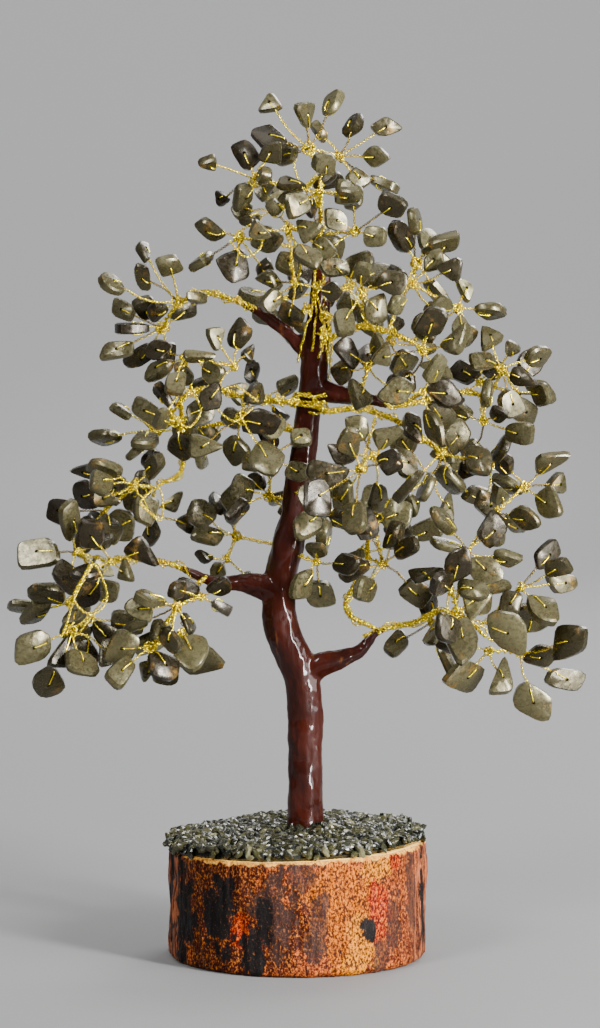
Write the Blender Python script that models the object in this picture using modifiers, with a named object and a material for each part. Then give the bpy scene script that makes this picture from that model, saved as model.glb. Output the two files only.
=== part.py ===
# Wire tree sculpture: polished stone chips for leaves on twisted gold wire, a resin-coated
# trunk, a bed of crushed stone and a slice of log with its bark. Metres, +Z up, front at -Y.
# The origin is the middle of the log's underside.
import math
import random

import bmesh
import bpy
from mathutils import Matrix, Vector
from mathutils.bvhtree import BVHTree

LOG_DIAMETER = 0.081
LOG_HEIGHT = 0.0357
LOG_SLANT = 0.0030          # how much higher the cut top is at the right than at the left
LOG_EDGE = 0.0012           # worn edge, top and bottom
BARK_RELIEF = 0.0009
BED_DIAMETER = 0.0815
BED_DEPTH = 0.0042
BED_RELIEF = 0.0014
BED_SHIFT = -0.0010         # the stones lie a little towards the left rim
TREE_RISE = 0.2355          # from the top of the log to the topmost leaf
TRUNK_FOOT = 0.0122         # width of the trunk where it stands in the stones
LEAF_THICKNESS = 0.0034
LEAF_SCALE = 1.0            # share of the leaf sizes in the table of sprays
WIRE_DIAMETER = 0.0009
KNOT_DIAMETER = 0.0044
BOUGH_SCALE = 1.0
CLEARANCE = 0.0003

# The tree's own places are thousandths of a metre on a tree that rises this much, as read
# from the front. Each is moved along the line of sight to its depth.
TABLE_RISE = 235.5
TABLE_LOG_TOP = 35.7
EYE_DISTANCE = 1200.0
EYE_HEIGHT = 229.6
EYE_RIGHT = 0.8
GROW = TREE_RISE / TABLE_RISE

TRUNK_SIDES = 8
LIMB_SIDES = 6
BOUGH_SIDES = 4
WIRE_SIDES = 3
LOG_STEPS = 32
BED_STEPS = 24
BED_RINGS = 4
HOLE_SIDES = 14
ZIGZAG = 0.2                # every second leaf of a full fan stands out by this share
FULL_FAN = 4
LEAF_DEPTH = 0.75           # how far a fan spreads in depth, as a share of its reach
GOLDEN_TURN = 2.4
STEM_INSET = 0.0006          # how far short of a leaf's middle its stem ends
TEST_MARGIN = 0.0004
FLAT_ANGLE = 0.002          # faces that turn less than this are one flat face
DEPTH_SHIFTS = (0, 3, -3, 6, -6, 9, -9, 12, -12, 16, -16, 20, -20, 25, -25)
REACH_SHARES = (1.0, 0.88, 1.12, 0.76)
ROOT_STEPS = (0, 3, -3, 6, -6, 9, -9, 12, -12)
BEND_STEPS = (0, 4, -4, 8, -8, 12, -12)

# x, depth, z and half the width of the trunk and its four limbs, from the foot up
TRUNK_LINE = (
    (2.6, 0, 38.5, 6.0), (2.5, 0, 47, 5.6), (2.6, 0, 62, 5.4), (2.4, 0, 80, 5.4),
    (1.4, 0, 88, 5.7), (-1.4, 0, 95, 5.8), (-4.2, 0, 101, 5.6), (-5.6, 0, 109, 5.3),
    (-5.2, 1, 118, 5.0), (-3.1, 1, 129, 5.3), (-1.0, 1, 139, 4.2), (0.6, 0, 150, 4.4),
    (2.2, 0, 161, 4.2), (3.5, 0, 171, 4.0), (4.8, 0, 181, 4.4), (5.8, 0, 191, 4.2),
    (6.3, 0, 199, 3.8),
)
LIMB_LINES = {
    "low_right": ((3, 0, 89.5, 4.4), (8.5, -1, 92, 4.0), (14, -1, 93.7, 2.9), (19.5, -1, 96, 2.2),
                  (22.6, -1, 99.6, 1.6)),
    "low_left": ((-6, 0, 113.5, 4.3), (-12, -1, 116.4, 3.9), (-18, -1, 117.4, 3.0),
                 (-24, -1, 117, 2.1), (-28, -1, 118.3, 1.7)),
    "high_right": ((6, 0, 178, 4.0), (12.5, 0, 176.4, 3.1), (20.5, 0, 175, 2.5)),
    "high_left": ((4, 0, 188.5, 3.0), (-2, 0, 194.5, 2.3), (-10.8, 0, 201.2, 1.8)),
}

# bare bundles of wire: x, depth and z of their points, with half the width at both ends
BOUGHS = {
    "top": (((6.5, 0, 200.5), (5.6, -1, 212), (7, 0, 224), (7.2, 0, 234), (7.5, 2, 244)), 3.1, 1.0),
    "high_left": (((-12, 0, 202.2), (-17, -1, 204.5), (-24, -2, 207), (-30, -3, 208),
                   (-36, -4, 205.5)), 1.7, 1.1),
    "high_right": (((11, -1, 194), (18, -3, 197.5), (28, -6, 196), (37, -8, 192)), 1.7, 1.2),
    "left": (((-2, -3, 174), (-10, -4, 174.3), (-17, -5, 175.5), (-25, -6, 178), (-33, -7, 177),
              (-39, -8, 171), (-41, -8, 166)), 1.7, 1.1),
    "left_drop": (((-36.2, -5, 171.5), (-35.6, -3, 160), (-36.5, -2, 152), (-44, -1, 147.5)), 1.2, 1.0),
    "right": (((22, 0, 174.8), (30, 1, 173), (38, 2, 174), (48, 3, 177), (59, 4, 176)), 1.9, 1.1),
    "right_low": (((10, -7, 171), (20, -9, 171.8), (31, -9, 168), (36, -9, 164), (41, -9, 161),
                   (45, -9, 158)), 1.6, 1.1),
    "low_left": (((-29.2, -1, 118.8), (-34, 0, 121), (-40, 1, 123.5), (-46, 2, 124.5),
                  (-55, 3, 124.5), (-63, 3, 122)), 1.6, 1.0),
    "low_left_drop": (((-31, -4, 117), (-35, -5, 113), (-39, -6, 107), (-43, -7, 102),
                       (-46, -8, 97)), 1.5, 1.1),
    "low_right": (((23.8, -1, 101.6), (29, -1, 103.4), (37, -2, 105), (43, -3, 108), (49, -3, 107.5),
                   (54, -2, 105), (59, -1, 100.5)), 1.6, 1.1),
    "low_right_rise": (((21.5, 1, 104.4), (16.5, 2, 107), (15, 1, 111), (18, 0, 117), (21.5, -2, 124),
                        (22, -4, 134)), 1.2, 0.9),
    "back_low": (((3, 6.5, 132), (12, 20, 136), (24, 32, 140), (34, 40, 146)), 1.6, 1.0),
    "back_high": (((7, 5.5, 186), (8, 20, 196), (10, 34, 206)), 1.6, 1.0),
    "back_left": (((1.5, 5.5, 164), (-8, 20, 167), (-18, 34, 168), (-30, 40, 166)), 1.6, 1.0),
}

# sprays: carrier, then the knot's x, depth and z, the fan's first and last direction in degrees
# from the right and up, its leaves, its reach at both ends and the length of its leaves.
# A twin grows from the knot of the spray above it and is one piece with it.
SPRAYS = (
    ("top", 3.5, -4, 252.5, 165, 62, 4, 16, 13, 9.5),
    ("twin", 13, 6, 250, 65, -32, 4, 14, 14, 8.5),
    ("top", -13, -12, 243, 210, 60, 4, 15, 8, 8.5),
    ("top", 7, -20, 239, 165, 0, 3, 10, 8, 8.5),
    ("twin", -7, -8, 233, 200, 30, 3, 8, 8, 7.5),
    ("top", 18, -14, 227, 35, 150, 3, 14, 7, 8.5),
    ("top", 2, 34, 240, 20, 290, 4, 10, 12, 9),
    ("top", -18, -8, 225, 165, 355, 5, 12, 11, 10),
    ("top", -3, -22, 228, -5, -80, 4, 8, 16, 9),
    ("twin", -1, -14, 211, 170, 265, 3, 8, 10, 8),
    ("high_right", 20, -18, 208, 88, -120, 4, 8, 9, 9.5),
    ("high_right", 37, 14, 217, 120, 36, 4, 12, 9, 9.5),
    ("twin", 36, -6, 210.5, 22, -130, 3, 13, 8, 9),
    ("twin", 50, -4, 203, 72, -155, 4, 8, 9.5, 9),
    ("high_right", 39, -26, 190, 80, -115, 4, 9, 9, 10.5),
    ("trunk", 22, -12, 185, 191, 315, 3, 8, 11, 10),
    ("twin", 29, -4, 193, 215, 300, 2, 8, 8, 9.5),
    ("high_left", -37, -4, 205, 104, 165, 4, 15, 18, 8.5),
    ("high_left", -42, 12, 197, 130, 232, 5, 10, 14, 10),
    ("left", -35, -20, 188, 165, 250, 3, 9, 9, 9.5),
    ("twin", -19.5, -24, 185, 82, 165, 3, 10, 12, 9),
    ("left", -17, -18, 169, -18, -145, 4, 12, 13, 11),
    ("left", -10, 14, 175, 30, 310, 3, 8, 7, 8.5),
    ("left", -38, -18, 168, 115, -75, 3, 9, 8, 10),
    ("left", -44, 4, 165, 150, 262, 4, 16, 8, 11),
    ("left_drop", -51, -10, 148, 150, 205, 5, 13, 13, 10.5),
    ("twin", -60, 6, 140, 182, 280, 3, 14, 6, 11.5),
    ("left_drop", -46, 10, 140, 140, 340, 4, 8, 10, 9.5),
    ("low_left", -69, -6, 127, 182, 20, 3, 12, 9, 12),
    ("twin", -58, -14, 124, 20, 232, 3, 9.5, 12, 10.5),
    ("low_left", -71, 8, 111.5, 160, 186, 2, 8, 15, 11.5),
    ("twin", -71, -8, 102, 202, 333, 4, 16, 12, 12),
    ("twin", -65, 6, 106.5, 225, 312, 2, 6, 8, 10.5),
    ("low_left_drop", -46, -10, 97, 180, 300, 4, 11, 8, 11.5),
    ("twin", -36, 0, 101.5, -58, -58, 1, 9, 9, 12.5),
    ("low_left_drop", -38, -22, 110, 165, 205, 3, 9, 14, 10.5),
    ("twin", -30, -12, 113, 160, -28, 2, 5, 7, 9.5),
    ("trunk", -19, 14, 132, 92, 148, 3, 11, 13, 9.5),
    ("twin", -22, 12, 125, 235, 235, 1, 5, 5, 7),
    ("trunk", -9, 6, 144.5, 130, 205, 3, 6, 11, 9),
    ("twin", -8, -10, 157, 100, 200, 2, 6, 6, 9),
    ("right_low", 20, -34, 153, 188, 262, 4, 14, 13, 11),
    ("twin", 24, -22, 157, 60, -85, 3, 7, 13, 10),
    ("trunk", 9, -30, 140, 215, 335, 2, 7, 8, 12),
    ("low_right_rise", 27, -12, 123, 190, -40, 4, 12, 11, 10.5),
    ("twin", 24, 4, 136, 150, 20, 2, 8, 8, 9.5),
    ("trunk", 6, -12, 124, 75, -85, 3, 9, 10, 10),
    ("right_low", 45, -14, 158, 50, -135, 4, 9, 12, 11),
    ("twin", 60, -2, 154, 55, -170, 2, 7, 7, 10),
    ("right", 58, -8, 168, -18, -200, 3, 12, 8, 9.5),
    ("right", 63.5, -8, 184, 155, 20, 4, 8, 10, 10),
    ("twin", 68, 6, 176.5, 4, -66, 2, 8, 6, 10),
    ("twin", 57, 16, 180, 150, 40, 2, 6, 6, 8.5),
    ("right", 39, -30, 177, 178, -55, 3, 8, 9, 11),
    ("low_right", 53, -18, 127, 128, -45, 3, 13, 8, 10.5),
    ("twin", 62, -6, 139, 80, -25, 2, 6, 7, 10.5),
    ("twin", 71, 6, 147.5, 46, -36, 3, 11, 9, 11),
    ("low_right", 50, -20, 108, 38, -138, 4, 17, 8, 13),
    ("twin", 48, -32, 115, 150, 0, 3, 10, 7, 11),
    ("low_right", 70, -6, 116, 52, 6, 3, 13, 13, 10.5),
    ("low_right", 42, 8, 105, 212, 292, 2, 13, 12, 10.5),
    ("low_right", 70, 6, 95.5, 13, -76, 3, 16, 16, 12.5),
    ("twin", 60, -8, 96, -66, -66, 1, 10, 10, 12.5),
    ("back_low", 42, 44, 150, 20, 340, 4, 12, 13, 10.5),
    ("twin", 30, 36, 130, 200, 20, 3, 12, 11, 10.5),
    ("back_high", 16, 42, 210, 20, 300, 4, 12, 11, 10.5),
    ("twin", -4, 34, 206, 60, 290, 3, 10, 11, 10),
    ("back_left", -32, 44, 168, 80, 280, 3, 10, 12, 10.5),
)

COLOURS = {
    "bark": ((0.20, 0.095, 0.040), 0.85, 0.0),
    "crushed_stone": ((0.050, 0.053, 0.045), 0.35, 0.25),
    "resin": ((0.085, 0.016, 0.010), 0.12, 0.0),
    "gold_wire": ((0.83, 0.60, 0.16), 0.25, 1.0),
    "leaf_stone": ((0.105, 0.094, 0.068), 0.25, 0.55),
}

for thing in list(bpy.data.objects):
    bpy.data.objects.remove(thing, do_unlink=True)


def new_collection(name):
    collection = bpy.data.collections.new(name)
    bpy.context.scene.collection.children.link(collection)
    return collection


tree_parts = new_collection("wire_tree_sculpture")
cutters = new_collection("cutters")


def new_material(name, colour, roughness, metallic):
    material = bpy.data.materials.new(name)
    material.use_nodes = True
    shader = material.node_tree.nodes["Principled BSDF"]
    shader.inputs["Base Color"].default_value = (*colour, 1)
    shader.inputs["Roughness"].default_value = roughness
    shader.inputs["Metallic"].default_value = metallic
    return material


materials = {name: new_material(name, *values) for name, values in COLOURS.items()}


def place(x, depth, z):
    """The point that is seen from the front at x and z, moved to its depth."""
    near = 1 + depth / EYE_DISTANCE
    right = EYE_RIGHT + (x - EYE_RIGHT) * near
    rise = EYE_HEIGHT + (z - EYE_HEIGHT) * near - TABLE_LOG_TOP
    return Vector((right * GROW, depth * GROW, LOG_HEIGHT + rise * GROW))


def add_object(name, mesh, collection, material=None):
    thing = bpy.data.objects.new(name, mesh)
    collection.objects.link(thing)
    if material:
        mesh.materials.clear()
        mesh.materials.append(materials[material])
    return thing


def evaluated_mesh(thing):
    """The mesh of an object with its modifiers, and the object removed."""
    bpy.context.view_layer.update()
    depsgraph = bpy.context.evaluated_depsgraph_get()
    mesh = bpy.data.meshes.new_from_object(thing.evaluated_get(depsgraph), depsgraph=depsgraph)
    mesh.transform(thing.matrix_world)
    bpy.data.objects.remove(thing, do_unlink=True)
    return mesh


def bmesh_of(mesh):
    shape = bmesh.new()
    shape.from_mesh(mesh)
    bmesh.ops.remove_doubles(shape, verts=shape.verts, dist=0.000001)
    return shape


def mesh_of(shape, name):
    mesh = bpy.data.meshes.new(name)
    shape.to_mesh(mesh)
    return mesh


def tube(path, sides):
    """A closed tube along points that each have their own radius."""
    curve = bpy.data.curves.new("tube", "CURVE")
    curve.dimensions = "3D"
    curve.bevel_depth = 1.0
    curve.bevel_resolution = (sides - 4) // 2
    curve.use_fill_caps = True
    spline = curve.splines.new("POLY")
    spline.points.add(len(path) - 1)
    for point, (spot, radius) in zip(spline.points, path):
        point.co = (*spot, 1)
        point.radius = radius
    return bmesh_of(evaluated_mesh(add_object("tube", curve, cutters)))


def prism(start, end, radius):
    """A straight length of wire with few sides."""
    run = end - start
    turn = run.to_track_quat("Z", "Y").to_matrix().to_4x4()
    matrix = Matrix.Translation((start + end) / 2) @ turn
    shape = bmesh.new()
    bmesh.ops.create_cone(shape, cap_ends=True, segments=WIRE_SIDES, radius1=radius,
                          radius2=radius, depth=run.length, matrix=matrix)
    return shape


def bead(spot, radius):
    """The knot where a spray's wires are twisted together."""
    shape = bmesh.new()
    bmesh.ops.create_uvsphere(shape, u_segments=4, v_segments=2, radius=radius,
                              matrix=Matrix.Translation(spot))
    return shape


def joined(shapes):
    """Several closed shapes in one, not yet fused."""
    whole = bmesh.new()
    for shape in shapes:
        mesh = mesh_of(shape, "piece")
        whole.from_mesh(mesh)
        bpy.data.meshes.remove(mesh)
    return whole


def boolean(base, other, operation):
    """Fuses two shapes, or cuts one from the other."""
    thing = add_object("base", mesh_of(base, "base"), cutters)
    tool = add_object("tool", mesh_of(other, "tool"), cutters)
    modifier = thing.modifiers.new("boolean", "BOOLEAN")
    modifier.operation = operation
    modifier.solver = "EXACT"
    modifier.object = tool
    shape = bmesh_of(evaluated_mesh(thing))
    bpy.data.objects.remove(tool, do_unlink=True)
    bmesh.ops.dissolve_limit(shape, angle_limit=FLAT_ANGLE, verts=shape.verts, edges=shape.edges)
    bmesh.ops.triangulate(shape, faces=shape.faces)
    return shape


def turned(profile, steps):
    """A turned shape from a profile of radius and height, run from the top down its outer side."""
    outline = bmesh.new()
    corners = [outline.verts.new((radius, 0, height)) for radius, height in profile]
    for first, second in zip(corners, corners[1:]):
        outline.edges.new((first, second))
    thing = add_object("turned", mesh_of(outline, "turned"), cutters)
    screw = thing.modifiers.new("screw", "SCREW")
    screw.steps = steps
    screw.render_steps = steps
    screw.use_merge_vertices = True
    screw.merge_threshold = 0.0001
    shape = bmesh_of(evaluated_mesh(thing))
    bmesh.ops.recalc_face_normals(shape, faces=shape.faces)
    return shape


def slant(x):
    return LOG_SLANT * x / LOG_DIAMETER


def wave(rng, terms, smallest, largest):
    """A sum of seeded waves round a circle, between -1 and 1."""
    parts = [(rng.randint(smallest, largest), rng.uniform(0, math.tau)) for _ in range(terms)]
    return lambda turn: sum(math.sin(count * turn + phase) for count, phase in parts) / terms


def build_log():
    radius = LOG_DIAMETER / 2 - BARK_RELIEF
    levels = (LOG_HEIGHT - LOG_EDGE, LOG_HEIGHT * 0.66, LOG_HEIGHT * 0.33, LOG_EDGE)
    profile = [(0, LOG_HEIGHT), (radius - LOG_EDGE, LOG_HEIGHT)]
    profile += [(radius, level) for level in levels]
    profile += [(radius - LOG_EDGE, 0), (0, 0)]
    shape = turned(profile, LOG_STEPS)
    rng = random.Random(5)
    waves = [wave(rng, 4, 3, 13) for _ in range(5)]
    for corner in shape.verts:
        reach = math.hypot(corner.co.x, corner.co.y)
        turn = math.atan2(corner.co.y, corner.co.x)
        share = corner.co.z / LOG_HEIGHT
        if reach > radius / 2:
            level = min(int(share * len(waves)), len(waves) - 1)
            push = 1 + waves[level](turn) * BARK_RELIEF / radius
            corner.co.x *= push
            corner.co.y *= push
        corner.co.z += share * slant(corner.co.x)
    return shape


def build_bed():
    radius = BED_DIAMETER / 2
    profile = [(radius * ring / BED_RINGS, BED_DEPTH) for ring in range(BED_RINGS)]
    profile += [(radius * 0.98, BED_DEPTH * 0.8), (radius, BED_DEPTH * 0.35), (radius * 0.96, 0), (0, 0)]
    shape = turned(profile, BED_STEPS)
    rng = random.Random(11)
    for corner in shape.verts:
        if corner.co.z > BED_DEPTH / 2:
            corner.co.z += rng.uniform(-BED_RELIEF, BED_RELIEF) / 2
        if corner.co.xy.length > radius * 0.9:
            push = 1 + rng.uniform(-1, 0.4) * BED_RELIEF / radius
            corner.co.x *= push
            corner.co.y *= push
        corner.co.x += BED_SHIFT
        corner.co.z += LOG_HEIGHT + CLEARANCE + slant(corner.co.x)
    hole = bmesh.new()
    foot = place(*TRUNK_LINE[0][:3])
    hole_radius = TRUNK_FOOT / 2 + CLEARANCE * 2
    bmesh.ops.create_cone(hole, cap_ends=True, segments=HOLE_SIDES, radius1=hole_radius,
                          radius2=hole_radius, depth=LOG_HEIGHT,
                          matrix=Matrix.Translation((foot.x, foot.y, LOG_HEIGHT)))
    return boolean(shape, hole, "DIFFERENCE")


def table_path(line):
    return [(place(x, depth, z), half * GROW) for x, depth, z, half in line]


def build_trunk():
    path = table_path(TRUNK_LINE)
    first = path[0][0].copy()
    first.z = LOG_HEIGHT + CLEARANCE + slant(first.x + TRUNK_FOOT / 2)
    path[0] = (path[0][0], TRUNK_FOOT / 2)
    path.insert(0, (first, TRUNK_FOOT / 2))
    shape = tube(path, TRUNK_SIDES)
    for line in LIMB_LINES.values():
        shape = boolean(shape, tube(table_path(line), LIMB_SIDES), "UNION")
    return shape


def build_bough(points, thick, thin):
    path = []
    for index, point in enumerate(points):
        share = index / (len(points) - 1)
        radius = (thick + (thin - thick) * share) * BOUGH_SCALE * GROW
        path.append((place(*point), radius))
    return tube(path, BOUGH_SIDES)


class Leaf:
    """A polished chip: its outline, thickness, facing and the wire that holds it."""

    def __init__(self, seed, size):
        rng = random.Random(seed)
        length = size * LEAF_SCALE * GROW * rng.uniform(0.88, 1.18)
        width = length * rng.uniform(0.62, 0.88)
        corners = rng.choice((3, 4, 4, 4))
        start = rng.uniform(0, math.tau)
        outline = []
        for index in range(corners):
            turn = start + math.tau * (index + rng.uniform(-0.2, 0.2)) / corners
            reach = rng.uniform(0.98, 1.16)
            outline.append(Vector((math.cos(turn) * length, math.sin(turn) * width)) * reach / 2)
        centre = sum(outline, Vector((0, 0))) / corners
        self.outline = [corner - centre for corner in outline]
        self.thickness = LEAF_THICKNESS * rng.uniform(0.8, 1.2)
        self.spin = rng.uniform(-0.7, 0.7)
        tilt = rng.gauss(0, 0.55)
        if rng.random() < 0.25:
            tilt = rng.uniform(-1.5, 1.5)
        self.tilt = tilt

    def shape(self, knot, middle, margin=0.0):
        """The chip as a hull of its outline on both faces."""
        run = (middle - knot).normalized()
        facing = Vector((0, -1, 0))
        facing = (facing - run * facing.dot(run)).normalized()
        facing = Matrix.Rotation(self.tilt, 3, run) @ facing
        along = Matrix.Rotation(self.spin, 3, facing) @ run
        across = facing.cross(along)
        half = self.thickness / 2 + margin
        shape = bmesh.new()
        for side in (half, -half):
            for first, second in self.outline:
                grow = 1 + margin / math.hypot(first, second)
                spot = middle + along * first * grow + across * second * grow + facing * side
                shape.verts.new(spot)
        bmesh.ops.convex_hull(shape, input=shape.verts)
        return shape


placed = []


def bounds_of(shape):
    low = Vector([min(corner.co[axis] for corner in shape.verts) for axis in range(3)])
    high = Vector([max(corner.co[axis] for corner in shape.verts) for axis in range(3)])
    return low, high


def remember(shape):
    """Keeps a finished shape as something that later shapes stay clear of."""
    low, high = bounds_of(shape)
    placed.append((BVHTree.FromBMesh(shape), low, high))


def is_clear(shape):
    """Whether a shape stays clear of all that is placed."""
    low, high = bounds_of(shape)
    tree = BVHTree.FromBMesh(shape)
    middle = (low + high) / 2
    for other_tree, other_low, other_high in placed:
        if any(low[axis] > other_high[axis] or high[axis] < other_low[axis] for axis in range(3)):
            continue
        if tree.overlap(other_tree):
            return False
        spot, normal, _, _ = other_tree.find_nearest(middle)
        if (middle - spot).dot(normal) < 0:
            return False
    return True


def root_on(carrier, aim, radius):
    """A point just off the carrier's surface, where a side wire starts."""
    spot, normal, _, _ = carrier.find_nearest(aim)
    return spot + normal * (radius + CLEARANCE)


def wire_solids(stops, radius):
    return [prism(first, second, radius) for first, second in zip(stops, stops[1:])]


def past_knot(knot, end):
    """Where a wire from a knot leaves the knot's bead."""
    return knot + (end - knot).normalized() * (KNOT_DIAMETER / 2 + TEST_MARGIN)


def knot_and_wire(row, carrier, earlier_knot):
    """A spray's knot and the stops of the wire to it, straight or with one bend, where both have room."""
    radius = WIRE_DIAMETER / 2
    for shift in DEPTH_SHIFTS:
        knot = place(row[1], row[2] + shift, row[3])
        if not is_clear(bead(knot, KNOT_DIAMETER / 2 + TEST_MARGIN)):
            continue
        for bend in BEND_STEPS:
            for step in ROOT_STEPS if carrier else (0,):
                aim = knot + Vector((0, 0, step * GROW))
                start = root_on(carrier, aim, radius) if carrier else earlier_knot
                middle = (start + knot) / 2 + Vector((0, bend * GROW, abs(bend) * GROW / 3))
                stops = (start, middle, knot) if bend else (start, knot)
                first = start if carrier else past_knot(start, stops[1])
                if is_clear(joined(wire_solids((first, *stops[1:]), radius + TEST_MARGIN / 2))):
                    return knot, stops
    return None, None


def fan_place(row, number, index, share, shift):
    """Where a leaf's middle lies in its fan."""
    _, x, depth, z, first, last, leaves, reach_first, reach_last, _ = row
    part = index / max(leaves - 1, 1)
    turn = math.radians(first + (last - first) * part)
    reach = (reach_first + (reach_last - reach_first) * part) * share
    if leaves >= FULL_FAN:
        reach *= 1 + (ZIGZAG if index % 2 else -ZIGZAG)
    away = LEAF_DEPTH * reach * math.sin(GOLDEN_TURN * index + number)
    return place(x + reach * math.cos(turn), depth + away + shift, z + reach * math.sin(turn))


def fitted_leaf(row, number, index, knot):
    """A leaf and its stem at the first depth where both have room, or nothing."""
    leaf = Leaf(100 * number + index, row[-1])
    radius = WIRE_DIAMETER / 2
    for share in REACH_SHARES:
        for shift in DEPTH_SHIFTS:
            middle = fan_place(row, number, index, share, shift)
            run = (middle - knot).normalized()
            end = middle - run * STEM_INSET
            if not is_clear(leaf.shape(knot, middle, TEST_MARGIN)):
                continue
            if not is_clear(prism(past_knot(knot, end), end, radius + TEST_MARGIN / 2)):
                continue
            return leaf.shape(knot, middle), prism(knot - run * radius, end, radius)
    return None


# the base, the trunk and the boughs
pieces = {}
pieces["log_base"] = (build_log(), "bark")
pieces["stone_bed"] = (build_bed(), "crushed_stone")
pieces["trunk"] = (build_trunk(), "resin")
for bough_name, (points, thick, thin) in BOUGHS.items():
    pieces["bough_" + bough_name] = (build_bough(points, thick, thin), "gold_wire")
for shape, _ in pieces.values():
    remember(shape)

# the sprays: their knots and side wires first, then their leaves
sprays = []
for number, row in enumerate(SPRAYS):
    carrier = None
    earlier_knot = None
    if row[0] == "twin":
        owner = sprays[-1][0]
        earlier_knot = sprays[-1][3]
    else:
        before = sum(1 for other in SPRAYS[:number] if other[0] == row[0])
        owner = "spray_" + row[0] + "_" + str(before + 1)
        carrier_name = "trunk" if row[0] == "trunk" else "bough_" + row[0]
        carrier = BVHTree.FromBMesh(pieces[carrier_name][0])
    knot, stops = knot_and_wire(row, carrier, earlier_knot)
    if knot is None:
        continue
    wires = wire_solids(stops, WIRE_DIAMETER / 2)
    knot_bead = bead(knot, KNOT_DIAMETER / 2)
    for shape in wires + [knot_bead]:
        remember(shape)
    sprays.append((owner, number, row, knot, wires, knot_bead))

grown = {}
chips = {}
for owner, number, row, knot, wires, knot_bead in sprays:
    solids = grown.setdefault(owner, [])
    solids.append(knot_bead)
    solids.extend(wires)
    for index in range(row[6]):
        fitted = fitted_leaf(row, number, index, knot)
        if fitted is None:
            continue
        chip, stem = fitted
        remember(chip)
        remember(stem)
        solids.append(stem)
        chips.setdefault(owner, []).append(chip)

for owner, solids in grown.items():
    whole = solids[0]
    for solid in solids[1:]:
        whole = boolean(whole, solid, "UNION")
    pieces[owner] = (boolean(whole, joined(chips[owner]), "UNION"), "leaf_stone")

for name, (shape, material) in pieces.items():
    mesh = mesh_of(shape, name)
    add_object(name, mesh, tree_parts, material)
    if material == "resin":
        mesh.shade_smooth()
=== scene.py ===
import math
import random

import bmesh
import bpy
from mathutils import Matrix, Vector, noise
from mathutils.bvhtree import BVHTree


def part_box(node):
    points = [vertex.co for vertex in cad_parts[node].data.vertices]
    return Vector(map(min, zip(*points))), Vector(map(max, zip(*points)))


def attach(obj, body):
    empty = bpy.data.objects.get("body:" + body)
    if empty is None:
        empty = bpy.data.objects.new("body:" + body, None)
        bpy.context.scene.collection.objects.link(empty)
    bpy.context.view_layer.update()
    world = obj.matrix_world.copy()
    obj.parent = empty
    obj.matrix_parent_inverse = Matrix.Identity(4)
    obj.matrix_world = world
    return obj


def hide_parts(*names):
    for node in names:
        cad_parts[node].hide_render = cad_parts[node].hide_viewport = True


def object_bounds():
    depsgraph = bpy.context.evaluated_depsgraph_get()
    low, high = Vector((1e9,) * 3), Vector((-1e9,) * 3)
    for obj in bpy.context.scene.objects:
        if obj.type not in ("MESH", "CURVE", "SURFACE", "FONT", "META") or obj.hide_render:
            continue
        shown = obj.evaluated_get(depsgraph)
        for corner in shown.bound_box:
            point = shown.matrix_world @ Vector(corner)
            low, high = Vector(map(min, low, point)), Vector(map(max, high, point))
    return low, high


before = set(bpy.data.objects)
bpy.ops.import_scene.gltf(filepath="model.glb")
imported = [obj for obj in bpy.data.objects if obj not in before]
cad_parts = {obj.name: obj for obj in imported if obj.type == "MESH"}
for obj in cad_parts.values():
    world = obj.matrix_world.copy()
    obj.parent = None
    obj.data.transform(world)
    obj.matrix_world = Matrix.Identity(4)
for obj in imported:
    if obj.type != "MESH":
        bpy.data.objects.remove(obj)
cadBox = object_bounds()
print("stage: frame loaded")

# where the tree was read from: thousandths of a metre as seen by an eye at this place
reading = {"logTop": 35.7, "eyeDistance": 1200.0, "eyeHeight": 229.6, "eyeRight": 0.8, "grow": 0.001}
logHeight = reading["logTop"] / 1000
front = Vector((0, -1, 0))
lineStep = 0.002            # between the points of a smooth line, in metres

# x, depth, z and half the width of the trunk and its four limbs, from the foot up
trunkLine = (
    (2.6, 0, 38.5, 6.0), (2.5, 0, 47, 5.6), (2.6, 0, 62, 5.4), (2.4, 0, 80, 5.4),
    (1.4, 0, 88, 5.7), (-1.4, 0, 95, 5.8), (-4.2, 0, 101, 5.6), (-5.6, 0, 109, 5.3),
    (-5.2, 1, 118, 5.0), (-3.1, 1, 129, 5.3), (-1.0, 1, 139, 4.2), (0.6, 0, 150, 4.4),
    (2.2, 0, 161, 4.2), (3.5, 0, 171, 4.0), (4.8, 0, 181, 4.4), (5.8, 0, 191, 4.2),
    (6.3, 0, 199, 3.8),
)
limbLines = {
    "low_right": ((3, 0, 89.5, 4.4), (8.5, -1, 92, 4.0), (14, -1, 93.7, 2.9), (19.5, -1, 96, 2.2),
                  (22.6, -1, 99.6, 1.6)),
    "low_left": ((-6, 0, 113.5, 4.3), (-12, -1, 116.4, 3.9), (-18, -1, 117.4, 3.0),
                 (-24, -1, 117, 2.1), (-28, -1, 118.3, 1.7)),
    "high_right": ((6, 0, 178, 4.0), (12.5, 0, 176.4, 3.1), (20.5, 0, 175, 2.5)),
    "high_left": ((4, 0, 188.5, 3.0), (-2, 0, 194.5, 2.3), (-10.8, 0, 201.2, 1.8)),
}
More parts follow.
